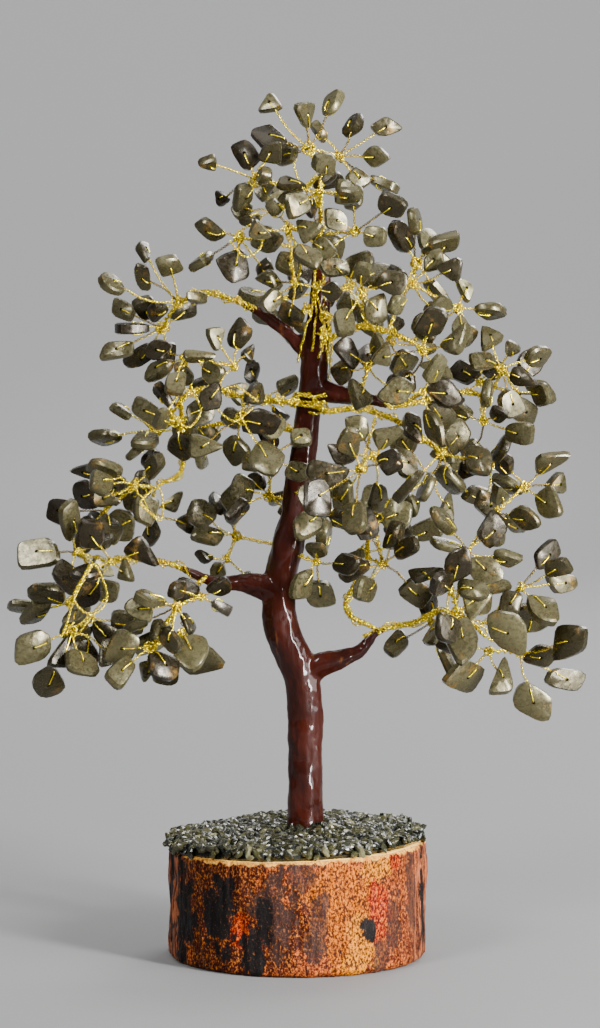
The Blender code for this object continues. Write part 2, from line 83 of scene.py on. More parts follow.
# bare bundles of wire: points, then half the width at both ends
boughs = {
    "top": (((6.5, 0, 200.5), (5.6, -1, 212), (7, 0, 224), (7.2, 0, 234), (7.5, 2, 244)), 3.1, 1.0),
    "high_left": (((-12, 0, 202.2), (-17, -1, 204.5), (-24, -2, 207), (-30, -3, 208),
                   (-36, -4, 205.5)), 1.7, 1.1),
    "high_right": (((11, -1, 194), (18, -3, 197.5), (28, -6, 196), (37, -8, 192)), 1.7, 1.2),
    "left": (((-2, -3, 174), (-10, -4, 174.3), (-17, -5, 175.5), (-25, -6, 178), (-33, -7, 177),
              (-39, -8, 171), (-41, -8, 166)), 1.7, 1.1),
    "left_drop": (((-36.2, -5, 171.5), (-35.6, -3, 160), (-36.5, -2, 152), (-44, -1, 147.5)), 1.2, 1.0),
    "right": (((22, 0, 174.8), (30, 1, 173), (38, 2, 174), (48, 3, 177), (59, 4, 176)), 1.9, 1.1),
    "right_low": (((10, -7, 171), (20, -9, 171.8), (31, -9, 168), (36, -9, 164), (41, -9, 161),
                   (45, -9, 158)), 1.6, 1.1),
    "low_left": (((-29.2, -1, 118.8), (-34, 0, 121), (-40, 1, 123.5), (-46, 2, 124.5),
                  (-55, 3, 124.5), (-63, 3, 122)), 1.6, 1.0),
    "low_left_drop": (((-31, -4, 117), (-35, -5, 113), (-39, -6, 107), (-43, -7, 102),
                       (-46, -8, 97)), 1.5, 1.1),
    "low_right": (((23.8, -1, 101.6), (29, -1, 103.4), (37, -2, 105), (43, -3, 108), (49, -3, 107.5),
                   (54, -2, 105), (59, -1, 100.5)), 1.6, 1.1),
    "low_right_rise": (((21.5, 1, 104.4), (16.5, 2, 107), (15, 1, 111), (18, 0, 117), (21.5, -2, 124),
                        (22, -4, 134)), 1.2, 0.9),
    "back_low": (((3, 6.5, 132), (12, 20, 136), (24, 32, 140), (34, 40, 146)), 1.6, 1.0),
    "back_high": (((7, 5.5, 186), (8, 20, 196), (10, 34, 206)), 1.6, 1.0),
    "back_left": (((1.5, 5.5, 164), (-8, 20, 167), (-18, 34, 168), (-30, 40, 166)), 1.6, 1.0),
}
# sprays: carrier, the knot's x, depth and z, the fan's first and last direction in degrees,
# its leaves, its reach at both ends and the length of its leaves
sprayTable = (
    ("top", 3.5, -4, 252.5, 165, 62, 4, 16, 13, 9.5),
    ("twin", 13, 6, 250, 65, -32, 4, 14, 14, 8.5),
    ("top", -13, -12, 243, 210, 60, 4, 15, 8, 8.5),
    ("top", 7, -20, 239, 165, 0, 3, 10, 8, 8.5),
    ("twin", -7, -8, 233, 200, 30, 3, 8, 8, 7.5),
    ("top", 18, -14, 227, 35, 150, 3, 14, 7, 8.5),
    ("top", 2, 34, 240, 20, 290, 4, 10, 12, 9),
    ("top", -18, -8, 225, 165, 355, 5, 12, 11, 10),
    ("top", -3, -22, 228, -5, -80, 4, 8, 16, 9),
    ("twin", -1, -14, 211, 170, 265, 3, 8, 10, 8),
    ("high_right", 20, -18, 208, 88, -120, 4, 8, 9, 9.5),
    ("high_right", 37, 14, 217, 120, 36, 4, 12, 9, 9.5),
    ("twin", 36, -6, 210.5, 22, -130, 3, 13, 8, 9),
    ("twin", 50, -4, 203, 72, -155, 4, 8, 9.5, 9),
    ("high_right", 39, -26, 190, 80, -115, 4, 9, 9, 10.5),
    ("trunk", 22, -12, 185, 191, 315, 3, 8, 11, 10),
    ("twin", 29, -4, 193, 215, 300, 2, 8, 8, 9.5),
    ("high_left", -37, -4, 205, 104, 165, 4, 15, 18, 8.5),
    ("high_left", -42, 12, 197, 130, 232, 5, 10, 14, 10),
    ("left", -35, -20, 188, 165, 250, 3, 9, 9, 9.5),
    ("twin", -19.5, -24, 185, 82, 165, 3, 10, 12, 9),
    ("left", -17, -18, 169, -18, -145, 4, 12, 13, 11),
    ("left", -10, 14, 175, 30, 310, 3, 8, 7, 8.5),
    ("left", -38, -18, 168, 115, -75, 3, 9, 8, 10),
    ("left", -44, 4, 165, 150, 262, 4, 16, 8, 11),
    ("left_drop", -51, -10, 148, 150, 205, 5, 13, 13, 10.5),
    ("twin", -60, 6, 140, 182, 280, 3, 14, 6, 11.5),
    ("left_drop", -46, 10, 140, 140, 340, 4, 8, 10, 9.5),
    ("low_left", -69, -6, 127, 182, 20, 3, 12, 9, 12),
    ("twin", -58, -14, 124, 20, 232, 3, 9.5, 12, 10.5),
    ("low_left", -71, 8, 111.5, 160, 186, 2, 8, 15, 11.5),
    ("twin", -71, -8, 102, 202, 333, 4, 16, 12, 12),
    ("twin", -65, 6, 106.5, 225, 312, 2, 6, 8, 10.5),
    ("low_left_drop", -46, -10, 97, 180, 300, 4, 11, 8, 11.5),
    ("twin", -36, 0, 101.5, -58, -58, 1, 9, 9, 12.5),
    ("low_left_drop", -38, -22, 110, 165, 205, 3, 9, 14, 10.5),
    ("twin", -30, -12, 113, 160, -28, 2, 5, 7, 9.5),
    ("trunk", -19, 14, 132, 92, 148, 3, 11, 13, 9.5),
    ("twin", -22, 12, 125, 235, 235, 1, 5, 5, 7),
    ("trunk", -9, 6, 144.5, 130, 205, 3, 6, 11, 9),
    ("twin", -8, -10, 157, 100, 200, 2, 6, 6, 9),
    ("right_low", 20, -34, 153, 188, 262, 4, 14, 13, 11),
    ("twin", 24, -22, 157, 60, -85, 3, 7, 13, 10),
    ("trunk", 9, -30, 140, 215, 335, 2, 7, 8, 12),
    ("low_right_rise", 27, -12, 123, 190, -40, 4, 12, 11, 10.5),
    ("twin", 24, 4, 136, 150, 20, 2, 8, 8, 9.5),
    ("trunk", 6, -12, 124, 75, -85, 3, 9, 10, 10),
    ("right_low", 45, -14, 158, 50, -135, 4, 9, 12, 11),
    ("twin", 60, -2, 154, 55, -170, 2, 7, 7, 10),
    ("right", 58, -8, 168, -18, -200, 3, 12, 8, 9.5),
    ("right", 63.5, -8, 184, 155, 20, 4, 8, 10, 10),
    ("twin", 68, 6, 176.5, 4, -66, 2, 8, 6, 10),
    ("twin", 57, 16, 180, 150, 40, 2, 6, 6, 8.5),
    ("right", 39, -30, 177, 178, -55, 3, 8, 9, 11),
    ("low_right", 53, -18, 127, 128, -45, 3, 13, 8, 10.5),
    ("twin", 62, -6, 139, 80, -25, 2, 6, 7, 10.5),
    ("twin", 71, 6, 147.5, 46, -36, 3, 11, 9, 11),
    ("low_right", 50, -20, 108, 38, -138, 4, 17, 8, 13),
    ("twin", 48, -32, 115, 150, 0, 3, 10, 7, 11),
    ("low_right", 70, -6, 116, 52, 6, 3, 13, 13, 10.5),
    ("low_right", 42, 8, 105, 212, 292, 2, 13, 12, 10.5),
    ("low_right", 70, 6, 95.5, 13, -76, 3, 16, 16, 12.5),
    ("twin", 60, -8, 96, -66, -66, 1, 10, 10, 12.5),
    ("back_low", 42, 44, 150, 20, 340, 4, 12, 13, 10.5),
    ("twin", 30, 36, 130, 200, 20, 3, 12, 11, 10.5),
    ("back_high", 16, 42, 210, 20, 300, 4, 12, 11, 10.5),
    ("twin", -4, 34, 206, 60, 290, 3, 10, 11, 10),
    ("back_left", -32, 44, 168, 80, 280, 3, 10, 12, 10.5),
)

# helpers
def place(x, depth, z):
    near = 1 + depth / reading["eyeDistance"]
    right = reading["eyeRight"] + (x - reading["eyeRight"]) * near
    rise = reading["eyeHeight"] + (z - reading["eyeHeight"]) * near - reading["logTop"]
    grow = reading["grow"]
    return Vector((right * grow, depth * grow, logHeight + rise * grow))


def cadSurface(node):
    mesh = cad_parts[node].data
    corners = [vertex.co.copy() for vertex in mesh.vertices]
    return BVHTree.FromPolygons(corners, [tuple(face.vertices) for face in mesh.polygons])


# three odd directions: a point is inside when two of them say so
lookAlong = (Vector((0.31, 0.22, 0.925)).normalized(), Vector((-0.77, 0.55, 0.31)).normalized(),
             Vector((0.45, -0.83, -0.33)).normalized())


def isInside(surface, point):
    votes = 0
    for way in lookAlong:
        hits = 0
        start = point.copy()
        for _ in range(60):
            spot, _, _, _ = surface.ray_cast(start, way)
            if spot is None:
                break
            hits += 1
            start = spot + way * 0.000002
        votes += hits % 2
    return votes >= 2


def addStep(tree, kind, feeds=None, **settings):
    node = tree.nodes.new(kind)
    for key, value in settings.items():
        setattr(node, key, value)
    for key, value in (feeds or {}).items():
        if isinstance(value, bpy.types.NodeSocket):
            tree.links.new(value, node.inputs[key])
        else:
            node.inputs[key].default_value = value
    return node


def firstOf(tree, kind, feeds=None, **settings):
    return addStep(tree, kind, feeds, **settings).outputs[0]


def newTree(name, inputs):
    tree = bpy.data.node_groups.new(name, "GeometryNodeTree")
    tree.interface.new_socket("Geometry", in_out="INPUT", socket_type="NodeSocketGeometry")
    for label, kind in inputs:
        tree.interface.new_socket(label, in_out="INPUT", socket_type="NodeSocket" + kind)
    tree.interface.new_socket("Geometry", in_out="OUTPUT", socket_type="NodeSocketGeometry")
    return tree, tree.nodes.new("NodeGroupInput").outputs, tree.nodes.new("NodeGroupOutput")


def sum2(tree, a, b, operation="ADD"):
    return firstOf(tree, "ShaderNodeMath", {0: a, 1: b}, operation=operation)


def math1(tree, a, operation):
    return firstOf(tree, "ShaderNodeMath", {0: a}, operation=operation)


def vec2(tree, a, b, operation="ADD"):
    return firstOf(tree, "ShaderNodeVectorMath", {0: a, 1: b}, operation=operation)


def grown(vector, tree, amount):
    return firstOf(tree, "ShaderNodeVectorMath", {0: vector, "Scale": amount}, operation="SCALE")


def realized(tree, geometry, given, result):
    # the last steps of a tree: a plain mesh with one finish
    whole = firstOf(tree, "GeometryNodeRealizeInstances", {"Geometry": geometry})
    feeds = {"Geometry": whole, "Material": given["Finish"]}
    tree.links.new(firstOf(tree, "GeometryNodeSetMaterial", feeds), result.inputs[0])
    return tree


def stored(tree, geometry, name, value, domain):
    feeds = {"Geometry": geometry, "Name": name, "Value": value}
    return firstOf(tree, "GeometryNodeStoreNamedAttribute", feeds, data_type="FLOAT", domain=domain)


def finished(thing, tree, values):
    # runs a tree on an object and leaves a plain mesh object of the same name
    modifier = thing.modifiers.new("build", "NODES")
    modifier.node_group = tree
    sockets = {item.name: item.identifier for item in tree.interface.items_tree if item.in_out == "INPUT"}
    for label, value in values.items():
        modifier[sockets[label]] = value
    return plainMesh(thing)


def plainMesh(thing):
    name = thing.name
    bpy.context.view_layer.update()
    depsgraph = bpy.context.evaluated_depsgraph_get()
    mesh = bpy.data.meshes.new_from_object(thing.evaluated_get(depsgraph), depsgraph=depsgraph)
    bpy.data.objects.remove(thing, do_unlink=True)
    return addObject(name, mesh)


def addObject(name, data, finish=None):
    thing = bpy.data.objects.new(name, data)
    bpy.context.scene.collection.objects.link(thing)
    if finish:
        data.materials.clear()
        data.materials.append(finish)
    return thing


def meshFrom(name, points, faces, smooth=True):
    mesh = bpy.data.meshes.new(name)
    mesh.from_pydata([tuple(point) for point in points], [], faces)
    mesh.update()
    if smooth:
        mesh.shade_smooth()
    return mesh


def meshOf(name, shape):
    mesh = bpy.data.meshes.new(name)
    shape.to_mesh(mesh)
    return mesh


def bandFaces(start, levels, around, turned=False):
    # the quads between rings of points that follow one another
    faces = []
    for level in range(levels):
        for index in range(around):
            after = (index + 1) % around
            low = start + level * around
            quad = [low + index, low + around + index, low + around + after, low + after]
            faces.append([quad[0], quad[3], quad[2], quad[1]] if turned else quad)
    return faces


def curveFrom(name, paths):
    # paths: lists of (point, share of the twist's width)
    curve = bpy.data.curves.new(name, "CURVE")
    curve.dimensions = "3D"
    for path in paths:
        spline = curve.splines.new("POLY")
        spline.points.add(len(path) - 1)
        for point, (spot, share) in zip(spline.points, path):
            point.co = (*spot, 1)
            point.radius = share
    return addObject(name, curve)


def evenPath(spots):
    return [(spot, 1.0) for spot in spots]


def frontOf(along):
    # the direction square to a line that faces the front most
    return (front - along * along.dot(front)).normalized()


def gaussWay(rng):
    return Vector([rng.gauss(0, 1) for _ in range(3)]).normalized()


def smoothPath(stops, step=lineStep):
    # Catmull-Rom through points of any length, about one step apart
    stops = [Vector(stop) for stop in stops]
    padded = [stops[0] * 2 - stops[1]] + stops + [stops[-1] * 2 - stops[-2]]
    path = []
    for index in range(1, len(padded) - 2):
        p0, p1, p2, p3 = padded[index - 1:index + 3]
        count = max(2, round((p2 - p1).length / step))
        for part in range(count):
            t = part / count
            path.append(0.5 * ((2 * p1) + (p2 - p0) * t + (2 * p0 - 5 * p1 + 4 * p2 - p3) * t * t
                               + (3 * p1 - p0 - 3 * p2 + p3) * t ** 3))
    path.append(stops[-1])
    return path


# finishes
def newFinish(name, values):
    material = bpy.data.materials.new(name)
    material.use_nodes = True
    tree = material.node_tree
    shader = tree.nodes["Principled BSDF"]
    for label, value in values.items():
        shader.inputs[label].default_value = value
    spots = addStep(tree, "ShaderNodeTexCoord").outputs["Object"]
    return material, tree, shader, spots


def squashed(tree, spots, squash):
    return firstOf(tree, "ShaderNodeMapping", {"Vector": spots, "Scale": squash})


def cloud(tree, spots, scale, detail=3.0, rough=0.55, squash=None):
    if squash:
        spots = squashed(tree, spots, squash)
    feeds = {"Vector": spots, "Scale": scale, "Detail": detail, "Roughness": rough}
    return firstOf(tree, "ShaderNodeTexNoise", feeds)


def cells(tree, spots, scale):
    return firstOf(tree, "ShaderNodeTexVoronoi", {"Vector": spots, "Scale": scale}, feature="F1")


def ramp(tree, value, low, high, first=0.0, last=1.0):
    feeds = {"Value": value, "From Min": low, "From Max": high, "To Min": first, "To Max": last}
    return firstOf(tree, "ShaderNodeMapRange", feeds, interpolation_type="SMOOTHSTEP")


def blend(tree, share, first, last):
    node = addStep(tree, "ShaderNodeMix", {0: share}, data_type="RGBA")
    for index, colour in ((6, first), (7, last)):
        if isinstance(colour, bpy.types.NodeSocket):
            tree.links.new(colour, node.inputs[index])
        else:
            node.inputs[index].default_value = (*colour, 1)
    return node.outputs[2]


def bump(tree, shader, height, distance, strength=1.0, under=None):
    feeds = {"Height": height, "Distance": distance, "Strength": strength}
    if under:
        feeds["Normal"] = under
    normal = firstOf(tree, "ShaderNodeBump", feeds)
    tree.links.new(normal, shader.inputs["Normal"])
    return normal


def attribute(tree, name):
    return addStep(tree, "ShaderNodeAttribute", attribute_name=name).outputs["Fac"]


chipLook = {"dark": (0.018, 0.013, 0.005), "mid": (0.076, 0.066, 0.028), "pale": (0.15, 0.135, 0.062),
            "ochre": (0.19, 0.105, 0.020), "seam": (0.012, 0.01, 0.006), "gloss": 0.32}


def makeChipFinish():
    look = chipLook
    values = {"Metallic": 0.6, "Coat Weight": 0.2, "Coat Roughness": 0.22}
    finish, tree, shader, spots = newFinish("polishedChip", values)
    tone = attribute(tree, "tone")
    broad = cloud(tree, spots, 190, 4, 0.6)
    fine = cloud(tree, spots, 900, 4, 0.7)
    colour = blend(tree, ramp(tree, tone, 0.05, 0.60), look["dark"], look["mid"])
    colour = blend(tree, ramp(tree, tone, 0.90, 1.0), colour, look["pale"])
    colour = blend(tree, ramp(tree, broad, 0.57, 0.74, 0.0, 0.8), colour, look["ochre"])
    colour = blend(tree, ramp(tree, fine, 0.58, 0.40, 0.0, 0.15), colour, look["dark"])
    colour = blend(tree, ramp(tree, cells(tree, spots, 330), 0.0, 0.09, 0.8, 0.0), colour, look["seam"])
    tree.links.new(colour, shader.inputs["Base Color"])
    tree.links.new(ramp(tree, fine, 0.35, 0.75, look["gloss"] - 0.1, look["gloss"] + 0.16),
                   shader.inputs["Roughness"])
    pits = ramp(tree, cells(tree, spots, 560), 0.0, 0.22)
    relief = sum2(tree, cloud(tree, spots, 300, 5, 0.65), pits)
    waves = bump(tree, shader, cloud(tree, spots, 150, 2, 0.5), 0.0011, 0.5)
    bump(tree, shader, relief, 0.00022, 0.25, waves)
    return finish


# second: the colour of the later wires of each twist, a painted shade standing in for the dark gaps between
# twisted wires
goldLook = {"bright": (1.0, 0.83, 0.020), "worn": (0.66, 0.34, 0.004), "dull": (0.17, 0.12, 0.010),
            "second": (0.24, 0.13, 0.004)}


def makeGoldFinish():
    look = goldLook
    finish, tree, shader, spots = newFinish("brightWire", {"Metallic": 0.85})
    tone = attribute(tree, "tone")
    wear = cloud(tree, spots, 700, 3, 0.6)
    colour = blend(tree, ramp(tree, wear, 0.50, 0.70), look["bright"], look["worn"])
    colour = blend(tree, ramp(tree, tone, 0.68, 0.86), colour, look["dull"])
    # the wires after the first in each twist are painted darker: painted shade for the gaps of the twist
    colour = blend(tree, sum2(tree, attribute(tree, "strand"), 0.5, "MULTIPLY"), colour, look["second"])
    tree.links.new(colour, shader.inputs["Base Color"])
    tree.links.new(ramp(tree, wear, 0.3, 0.7, 0.18, 0.30), shader.inputs["Roughness"])
    return finish


resinLook = {"red": (0.026, 0.0030, 0.0006), "dark": (0.013, 0.0016, 0.0005), "streak": (0.17, 0.050, 0.010)}


def makeResinFinish():
    look = resinLook
    values = {"Roughness": 0.5, "Specular IOR Level": 0.05, "Coat Weight": 0.55, "Coat IOR": 1.42,
              "Coat Roughness": 0.07}
    finish, tree, shader, spots = newFinish("redBrownResin", values)
    streaks = cloud(tree, spots, 240, 5, 0.65, (1, 1, 0.16))
    blots = cloud(tree, spots, 60, 3, 0.6)
    colour = blend(tree, ramp(tree, blots, 0.40, 0.68), look["red"], look["dark"])
    colour = blend(tree, ramp(tree, streaks, 0.62, 0.76, 0.0, 0.7), colour, look["streak"])
    tree.links.new(colour, shader.inputs["Base Color"])
    fine = cloud(tree, spots, 420, 4, 0.6, (1, 1, 0.35))
    broad = cloud(tree, spots, 130, 3, 0.6, (1, 1, 0.45))
    first = bump(tree, shader, broad, 0.0014, 0.5)
    bump(tree, shader, fine, 0.0005, 0.8, first)
    return finish


stoneLook = {"darkest": (0.002, 0.003, 0.001), "mid": (0.034, 0.032, 0.010), "pale": (0.12, 0.11, 0.055),
             "fleck": (0.09, 0.09, 0.045)}


def makeStoneFinish():
    look = stoneLook
    values = {"Metallic": 0.15, "Specular IOR Level": 0.3, "Coat Weight": 0.4, "Coat Roughness": 0.12}
    finish, tree, shader, spots = newFinish("crushedStone", values)
    tone = attribute(tree, "tone")
    fine = cloud(tree, spots, 900, 4, 0.65)
    colour = blend(tree, ramp(tree, tone, 0.0, 0.9), look["darkest"], look["mid"])
    colour = blend(tree, ramp(tree, tone, 0.92, 0.98), colour, look["pale"])
    colour = blend(tree, ramp(tree, fine, 0.58, 0.75, 0.0, 0.4), colour, look["fleck"])
    tree.links.new(colour, shader.inputs["Base Color"])
    tree.links.new(ramp(tree, fine, 0.3, 0.7, 0.20, 0.38), shader.inputs["Roughness"])
    bump(tree, shader, cloud(tree, spots, 520, 3, 0.6), 0.0004, 0.6)
    return finish


woodLook = {"early": (0.62, 0.36, 0.12), "late": (0.40, 0.19, 0.055), "pale": (0.75, 0.50, 0.20),
            "edge": (0.85, 0.52, 0.13), "edgeFrom": 0.0350, "edgeTo": 0.0385, "rings": 5200.0}


def makeWoodFinish():
    look = woodLook
    finish, tree, shader, spots = newFinish("cutWood", {"Roughness": 0.62})
    flat = squashed(tree, spots, (1, 1, 0.15))
    reach = addStep(tree, "ShaderNodeVectorMath", {0: flat}, operation="LENGTH").outputs["Value"]
    wander = sum2(tree, cloud(tree, flat, 70, 3), 0.004, "MULTIPLY")
    ringed = sum2(tree, sum2(tree, reach, wander, "ADD"), look["rings"], "MULTIPLY")
    rings = math1(tree, ringed, "SINE")
    colour = blend(tree, ramp(tree, rings, -0.6, 0.9), look["early"], look["late"])
    pale = ramp(tree, cloud(tree, spots, 260, 4), 0.5, 0.75, 0, 0.6)
    colour = blend(tree, pale, colour, look["pale"])
    colour = blend(tree, ramp(tree, reach, look["edgeFrom"], look["edgeTo"]), colour, look["edge"])
    tree.links.new(colour, shader.inputs["Base Color"])
    bump(tree, shader, cloud(tree, spots, 900, 4), 0.0004, 0.5)
    return finish


# the bark's patches: degrees from the front to the right, height and half sizes in thousandths
barkPatches = (
    ("rust", -42, 20, 34, 26), ("rust", -8, 14, 14, 14),
    ("black", -60, 16, 8, 12.5), ("black", -36, 19, 7, 10), ("black", -19.5, 7, 5, 8),
    ("char", -11, 20, 8, 10), ("black", -14, 17, 4, 6), ("char", 1, 31.5, 6.5, 3.6),
    ("char", 10, 17, 2.8, 8.5), ("char", 6.5, 8, 3, 4.5),
    ("rust", -40, 31, 24, 3.4), ("rust", -26, 26, 9, 5), ("amber", 24, 16, 12, 15), ("amber", 20, 29, 14, 6),
    ("yellow", 39, 33, 7, 4.5), ("yellow", 29, 9, 7, 8), ("red", 38.5, 19, 5, 8), ("red", 49, 34, 3, 3),
    ("red", -26, 14, 5, 5), ("black", 33, 14, 3, 3.3), ("char", 48, 15, 4.5, 7), ("char", 40, 5, 3.5, 5),
    ("char", 62, 24, 4, 12), ("black", 76, 17, 3, 14), ("black", -79, 18, 4, 13), ("rust", -50, 4, 9, 3),
    ("black", -112, 20, 8, 9), ("char", -135, 10, 7, 8), ("amber", -158, 19, 14, 14),
    ("black", 172, 12, 8, 9),
    ("red", 150, 24, 8, 7), ("char", 128, 16, 6, 12), ("amber", 108, 22, 11, 12), ("black", 92, 9, 5, 6),
)
barkColours = {"black": (0.006, 0.005, 0.005), "char": (0.022, 0.013, 0.011), "rust": (0.055, 0.010, 0.006),
               "amber": (0.33, 0.072, 0.0005), "yellow": (0.46, 0.145, 0.0005), "red": (0.26, 0.012, 0.0008)}


def laidPatches(tree, colour, patches, degrees, rise, wander):
    for name, angle, height, halfAngle, halfHeight in patches:
        across = sum2(tree, sum2(tree, degrees, angle, "SUBTRACT"), 0.85 / halfAngle, "MULTIPLY")
        up = sum2(tree, sum2(tree, rise, height / 1000, "SUBTRACT"), 850 / halfHeight, "MULTIPLY")
        square = sum2(tree, sum2(tree, across, 2.0, "POWER"), sum2(tree, up, 2.0, "POWER"))
        reach = sum2(tree, math1(tree, square, "SQRT"), wander)
        cover = 0.75 if name == "char" else 1.0
        colour = blend(tree, ramp(tree, reach, 1.10, 0.86, 0.0, cover), colour, barkColours[name])
    return colour


# the two side stripe colours are painted shade and sheen of the bark's ridges, laid only on the sides
barkLook = {"red": (0.36, 0.070, 0.014), "brown": (0.13, 0.022, 0.008), "dark": (0.035, 0.010, 0.007),
            "paint": (0.66, 0.20, 0.008), "pores": (0.016, 0.003, 0.001), "lightSpecksAndHighlights": (0.42, 0.14, 0.04),
            "sideRidgeShade": ((0.020, 0.006, 0.005), (0.30, 0.090, 0.036)),
            "rim": ((0.66, 0.33, 0.06), (0.36, 0.13, 0.016))}


def makeBarkFinish():
    look = barkLook
    finish, tree, shader, spots = newFinish("paintedBark", {"Roughness": 0.5, "Specular IOR Level": 0.07})
    grain = cloud(tree, spots, 1500, 3, 0.75, (1, 1, 0.7))
    ragged = cloud(tree, spots, 260, 5, 0.65, (1, 1, 0.6))
    streaks = cloud(tree, spots, 950, 3, 0.6, (1, 1, 0.10))
    broad = cloud(tree, spots, 70, 4, 0.6, (1, 1, 0.5))
    parts = addStep(tree, "ShaderNodeSeparateXYZ", {0: spots}).outputs
    turn = sum2(tree, parts[0], sum2(tree, parts[1], -1.0, "MULTIPLY"), "ARCTAN2")
    degrees = math1(tree, turn, "DEGREES")
    colour = blend(tree, ramp(tree, broad, 0.35, 0.62), look["red"], look["brown"])
    colour = blend(tree, ramp(tree, broad, 0.60, 0.75), colour, look["dark"])
    wander = ramp(tree, ragged, 0.25, 0.75, -0.6, 0.6)
    patches = [patch for patch in barkPatches if patch[0] not in ("black", "char")]
    colour = laidPatches(tree, colour, patches, degrees, parts[2], wander)
    paint = blend(tree, 0.45, colour, look["paint"])
    colour = blend(tree, ramp(tree, grain, 0.52, 0.64, 0.0, 0.95), colour, paint)
    colour = blend(tree, ramp(tree, grain, 0.54, 0.45, 0.0, 0.95), colour, look["pores"])
    # stripes laid only on the sides, 50 to 72 degrees from the front: painted shade and sheen of the bark's
    # ridges where the side is seen at a grazing angle
    turned = math1(tree, degrees, "ABSOLUTE")
    ridgeShadeStripes = blend(tree, ramp(tree, streaks, 0.44, 0.58), *look["sideRidgeShade"])
    colour = blend(tree, ramp(tree, turned, 50, 72, 0.0, 0.8), colour, ridgeShadeStripes)
    charred = [patch for patch in barkPatches if patch[0] in ("black", "char")]
    colour = laidPatches(tree, colour, charred, degrees, parts[2], wander)
    # lighter specks on the highest grain: partly lighter bark, partly painted highlights on the raised grain
    colour = blend(tree, ramp(tree, grain, 0.60, 0.72, 0.0, 0.35), colour, look["lightSpecksAndHighlights"])
    lip = sum2(tree, attribute(tree, "rise"), ramp(tree, ragged, 0.3, 0.7, -0.026, 0.016))
    rimmed = blend(tree, ramp(tree, grain, 0.4, 0.6), *look["rim"])
    colour = blend(tree, ramp(tree, lip, 0.966, 0.978), colour, rimmed)
    tree.links.new(colour, shader.inputs["Base Color"])
    tree.links.new(ramp(tree, ragged, 0.3, 0.7, 0.36, 0.6), shader.inputs["Roughness"])
    first = bump(tree, shader, ragged, 0.0012, 0.6)
    bump(tree, shader, grain, 0.0004, 0.6, first)
    return finish


finishes = {
    "chip": makeChipFinish(), "gold": makeGoldFinish(), "resin": makeResinFinish(),
    "stone": makeStoneFinish(), "wood": makeWoodFinish(), "bark": makeBarkFinish(),
}
print("stage: finishes made")


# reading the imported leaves
# the depths, bends and reaches that a spray may have taken, in the order they were tried
depthShifts = (0, 3, -3, 6, -6, 9, -9, 12, -12, 16, -16, 20, -20, 25, -25)
reachShares = (1.0, 0.88, 1.12, 0.76)
rootSteps = (0, 3, -3, 6, -6, 9, -9, 12, -12)
bendSteps = (0, 4, -4, 8, -8, 12, -12)
alongWire = (0.15, 0.4, 0.65, 0.9)       # where a side wire is tested
wire = {"radius": 0.00045, "clearance": 0.0003, "knot": 0.0022, "feel": 0.001}
leafSizes = {"thickness": 0.0034, "zigzag": 0.2, "fullFan": 4, "depth": 0.75, "goldenTurn": 2.4,
             "tested": 0.85}


def rootsOn(carrier, aim):
    # just off the carrier, over each face that meets at its nearest point
    spot = carrier.find_nearest(aim)[0]
    near = carrier.find_nearest_range(spot, 0.00002)
    return [spot + normal * (wire["radius"] + wire["clearance"]) for _, normal, _, _ in near]


def foundKnot(row, surface, carrier, earlierKnot):
    ways = ((1, 0, 0), (-1, 0, 0), (0, 1, 0), (0, -1, 0), (0, 0, 1), (0, 0, -1))
    feelers = [Vector(way) * wire["feel"] for way in ways]
    for shift in depthShifts:
        knot = place(row[1], row[2] + shift, row[3])
        if not all(isInside(surface, knot + feeler) for feeler in feelers):
            continue
        for bend in bendSteps:
            starts = [earlierKnot]
            if carrier:
                aims = [knot + Vector((0, 0, stepUp * reading["grow"])) for stepUp in rootSteps]
                starts = [start for aim in aims for start in rootsOn(carrier, aim)]
            for start in starts:
                middle = (start + knot) / 2
                middle += Vector((0, bend, abs(bend) / 3)) * reading["grow"]
                stops = (start, middle, knot) if bend else (start, knot)
                tests = [a.lerp(b, share) for a, b in zip(stops, stops[1:]) for share in alongWire]
                if all(isInside(surface, test) for test in tests):
                    return knot, stops
    return None, None


def fanPlace(row, number, index, share, shift):
    _, x, depth, z, first, last, leaves, reachFirst, reachLast, _ = row
    part = index / max(leaves - 1, 1)
    turn = math.radians(first + (last - first) * part)
    reach = (reachFirst + (reachLast - reachFirst) * part) * share
    if leaves >= leafSizes["fullFan"]:
        reach *= 1 + (leafSizes["zigzag"] if index % 2 else -leafSizes["zigzag"])
    away = leafSizes["depth"] * reach * math.sin(leafSizes["goldenTurn"] * index + number)
    return place(x + reach * math.cos(turn), depth + away + shift, z + reach * math.sin(turn))


def leafFacts(seed, size):
    rng = random.Random(seed)
    length = size * reading["grow"] * rng.uniform(0.88, 1.18)
    width = length * rng.uniform(0.62, 0.88)
    corners = rng.choice((3, 4, 4, 4))
    start = rng.uniform(0, math.tau)
    outline = []
    for index in range(corners):
        turn = start + math.tau * (index + rng.uniform(-0.2, 0.2)) / corners
        reach = rng.uniform(0.98, 1.16)
        outline.append(Vector((math.cos(turn) * length, math.sin(turn) * width)) * reach / 2)
    centre = sum(outline, Vector((0, 0))) / corners
    outline = [corner - centre for corner in outline]
    thickness = leafSizes["thickness"] * rng.uniform(0.8, 1.2)
    spin = rng.uniform(-0.7, 0.7)
    tilt = rng.gauss(0, 0.55)
    if rng.random() < 0.25:
        tilt = rng.uniform(-1.5, 1.5)
    return {"outline": outline, "thickness": thickness, "spin": spin, "tilt": tilt, "seed": seed}


def laidLeaf(leaf, knot, middle):
    run = (middle - knot).normalized()
    facing = Matrix.Rotation(leaf["tilt"], 3, run) @ frontOf(run)
    along = Matrix.Rotation(leaf["spin"], 3, facing) @ run
    return {**leaf, "middle": middle, "knot": knot, "run": run, "facing": facing, "along": along,
            "across": facing.cross(along)}


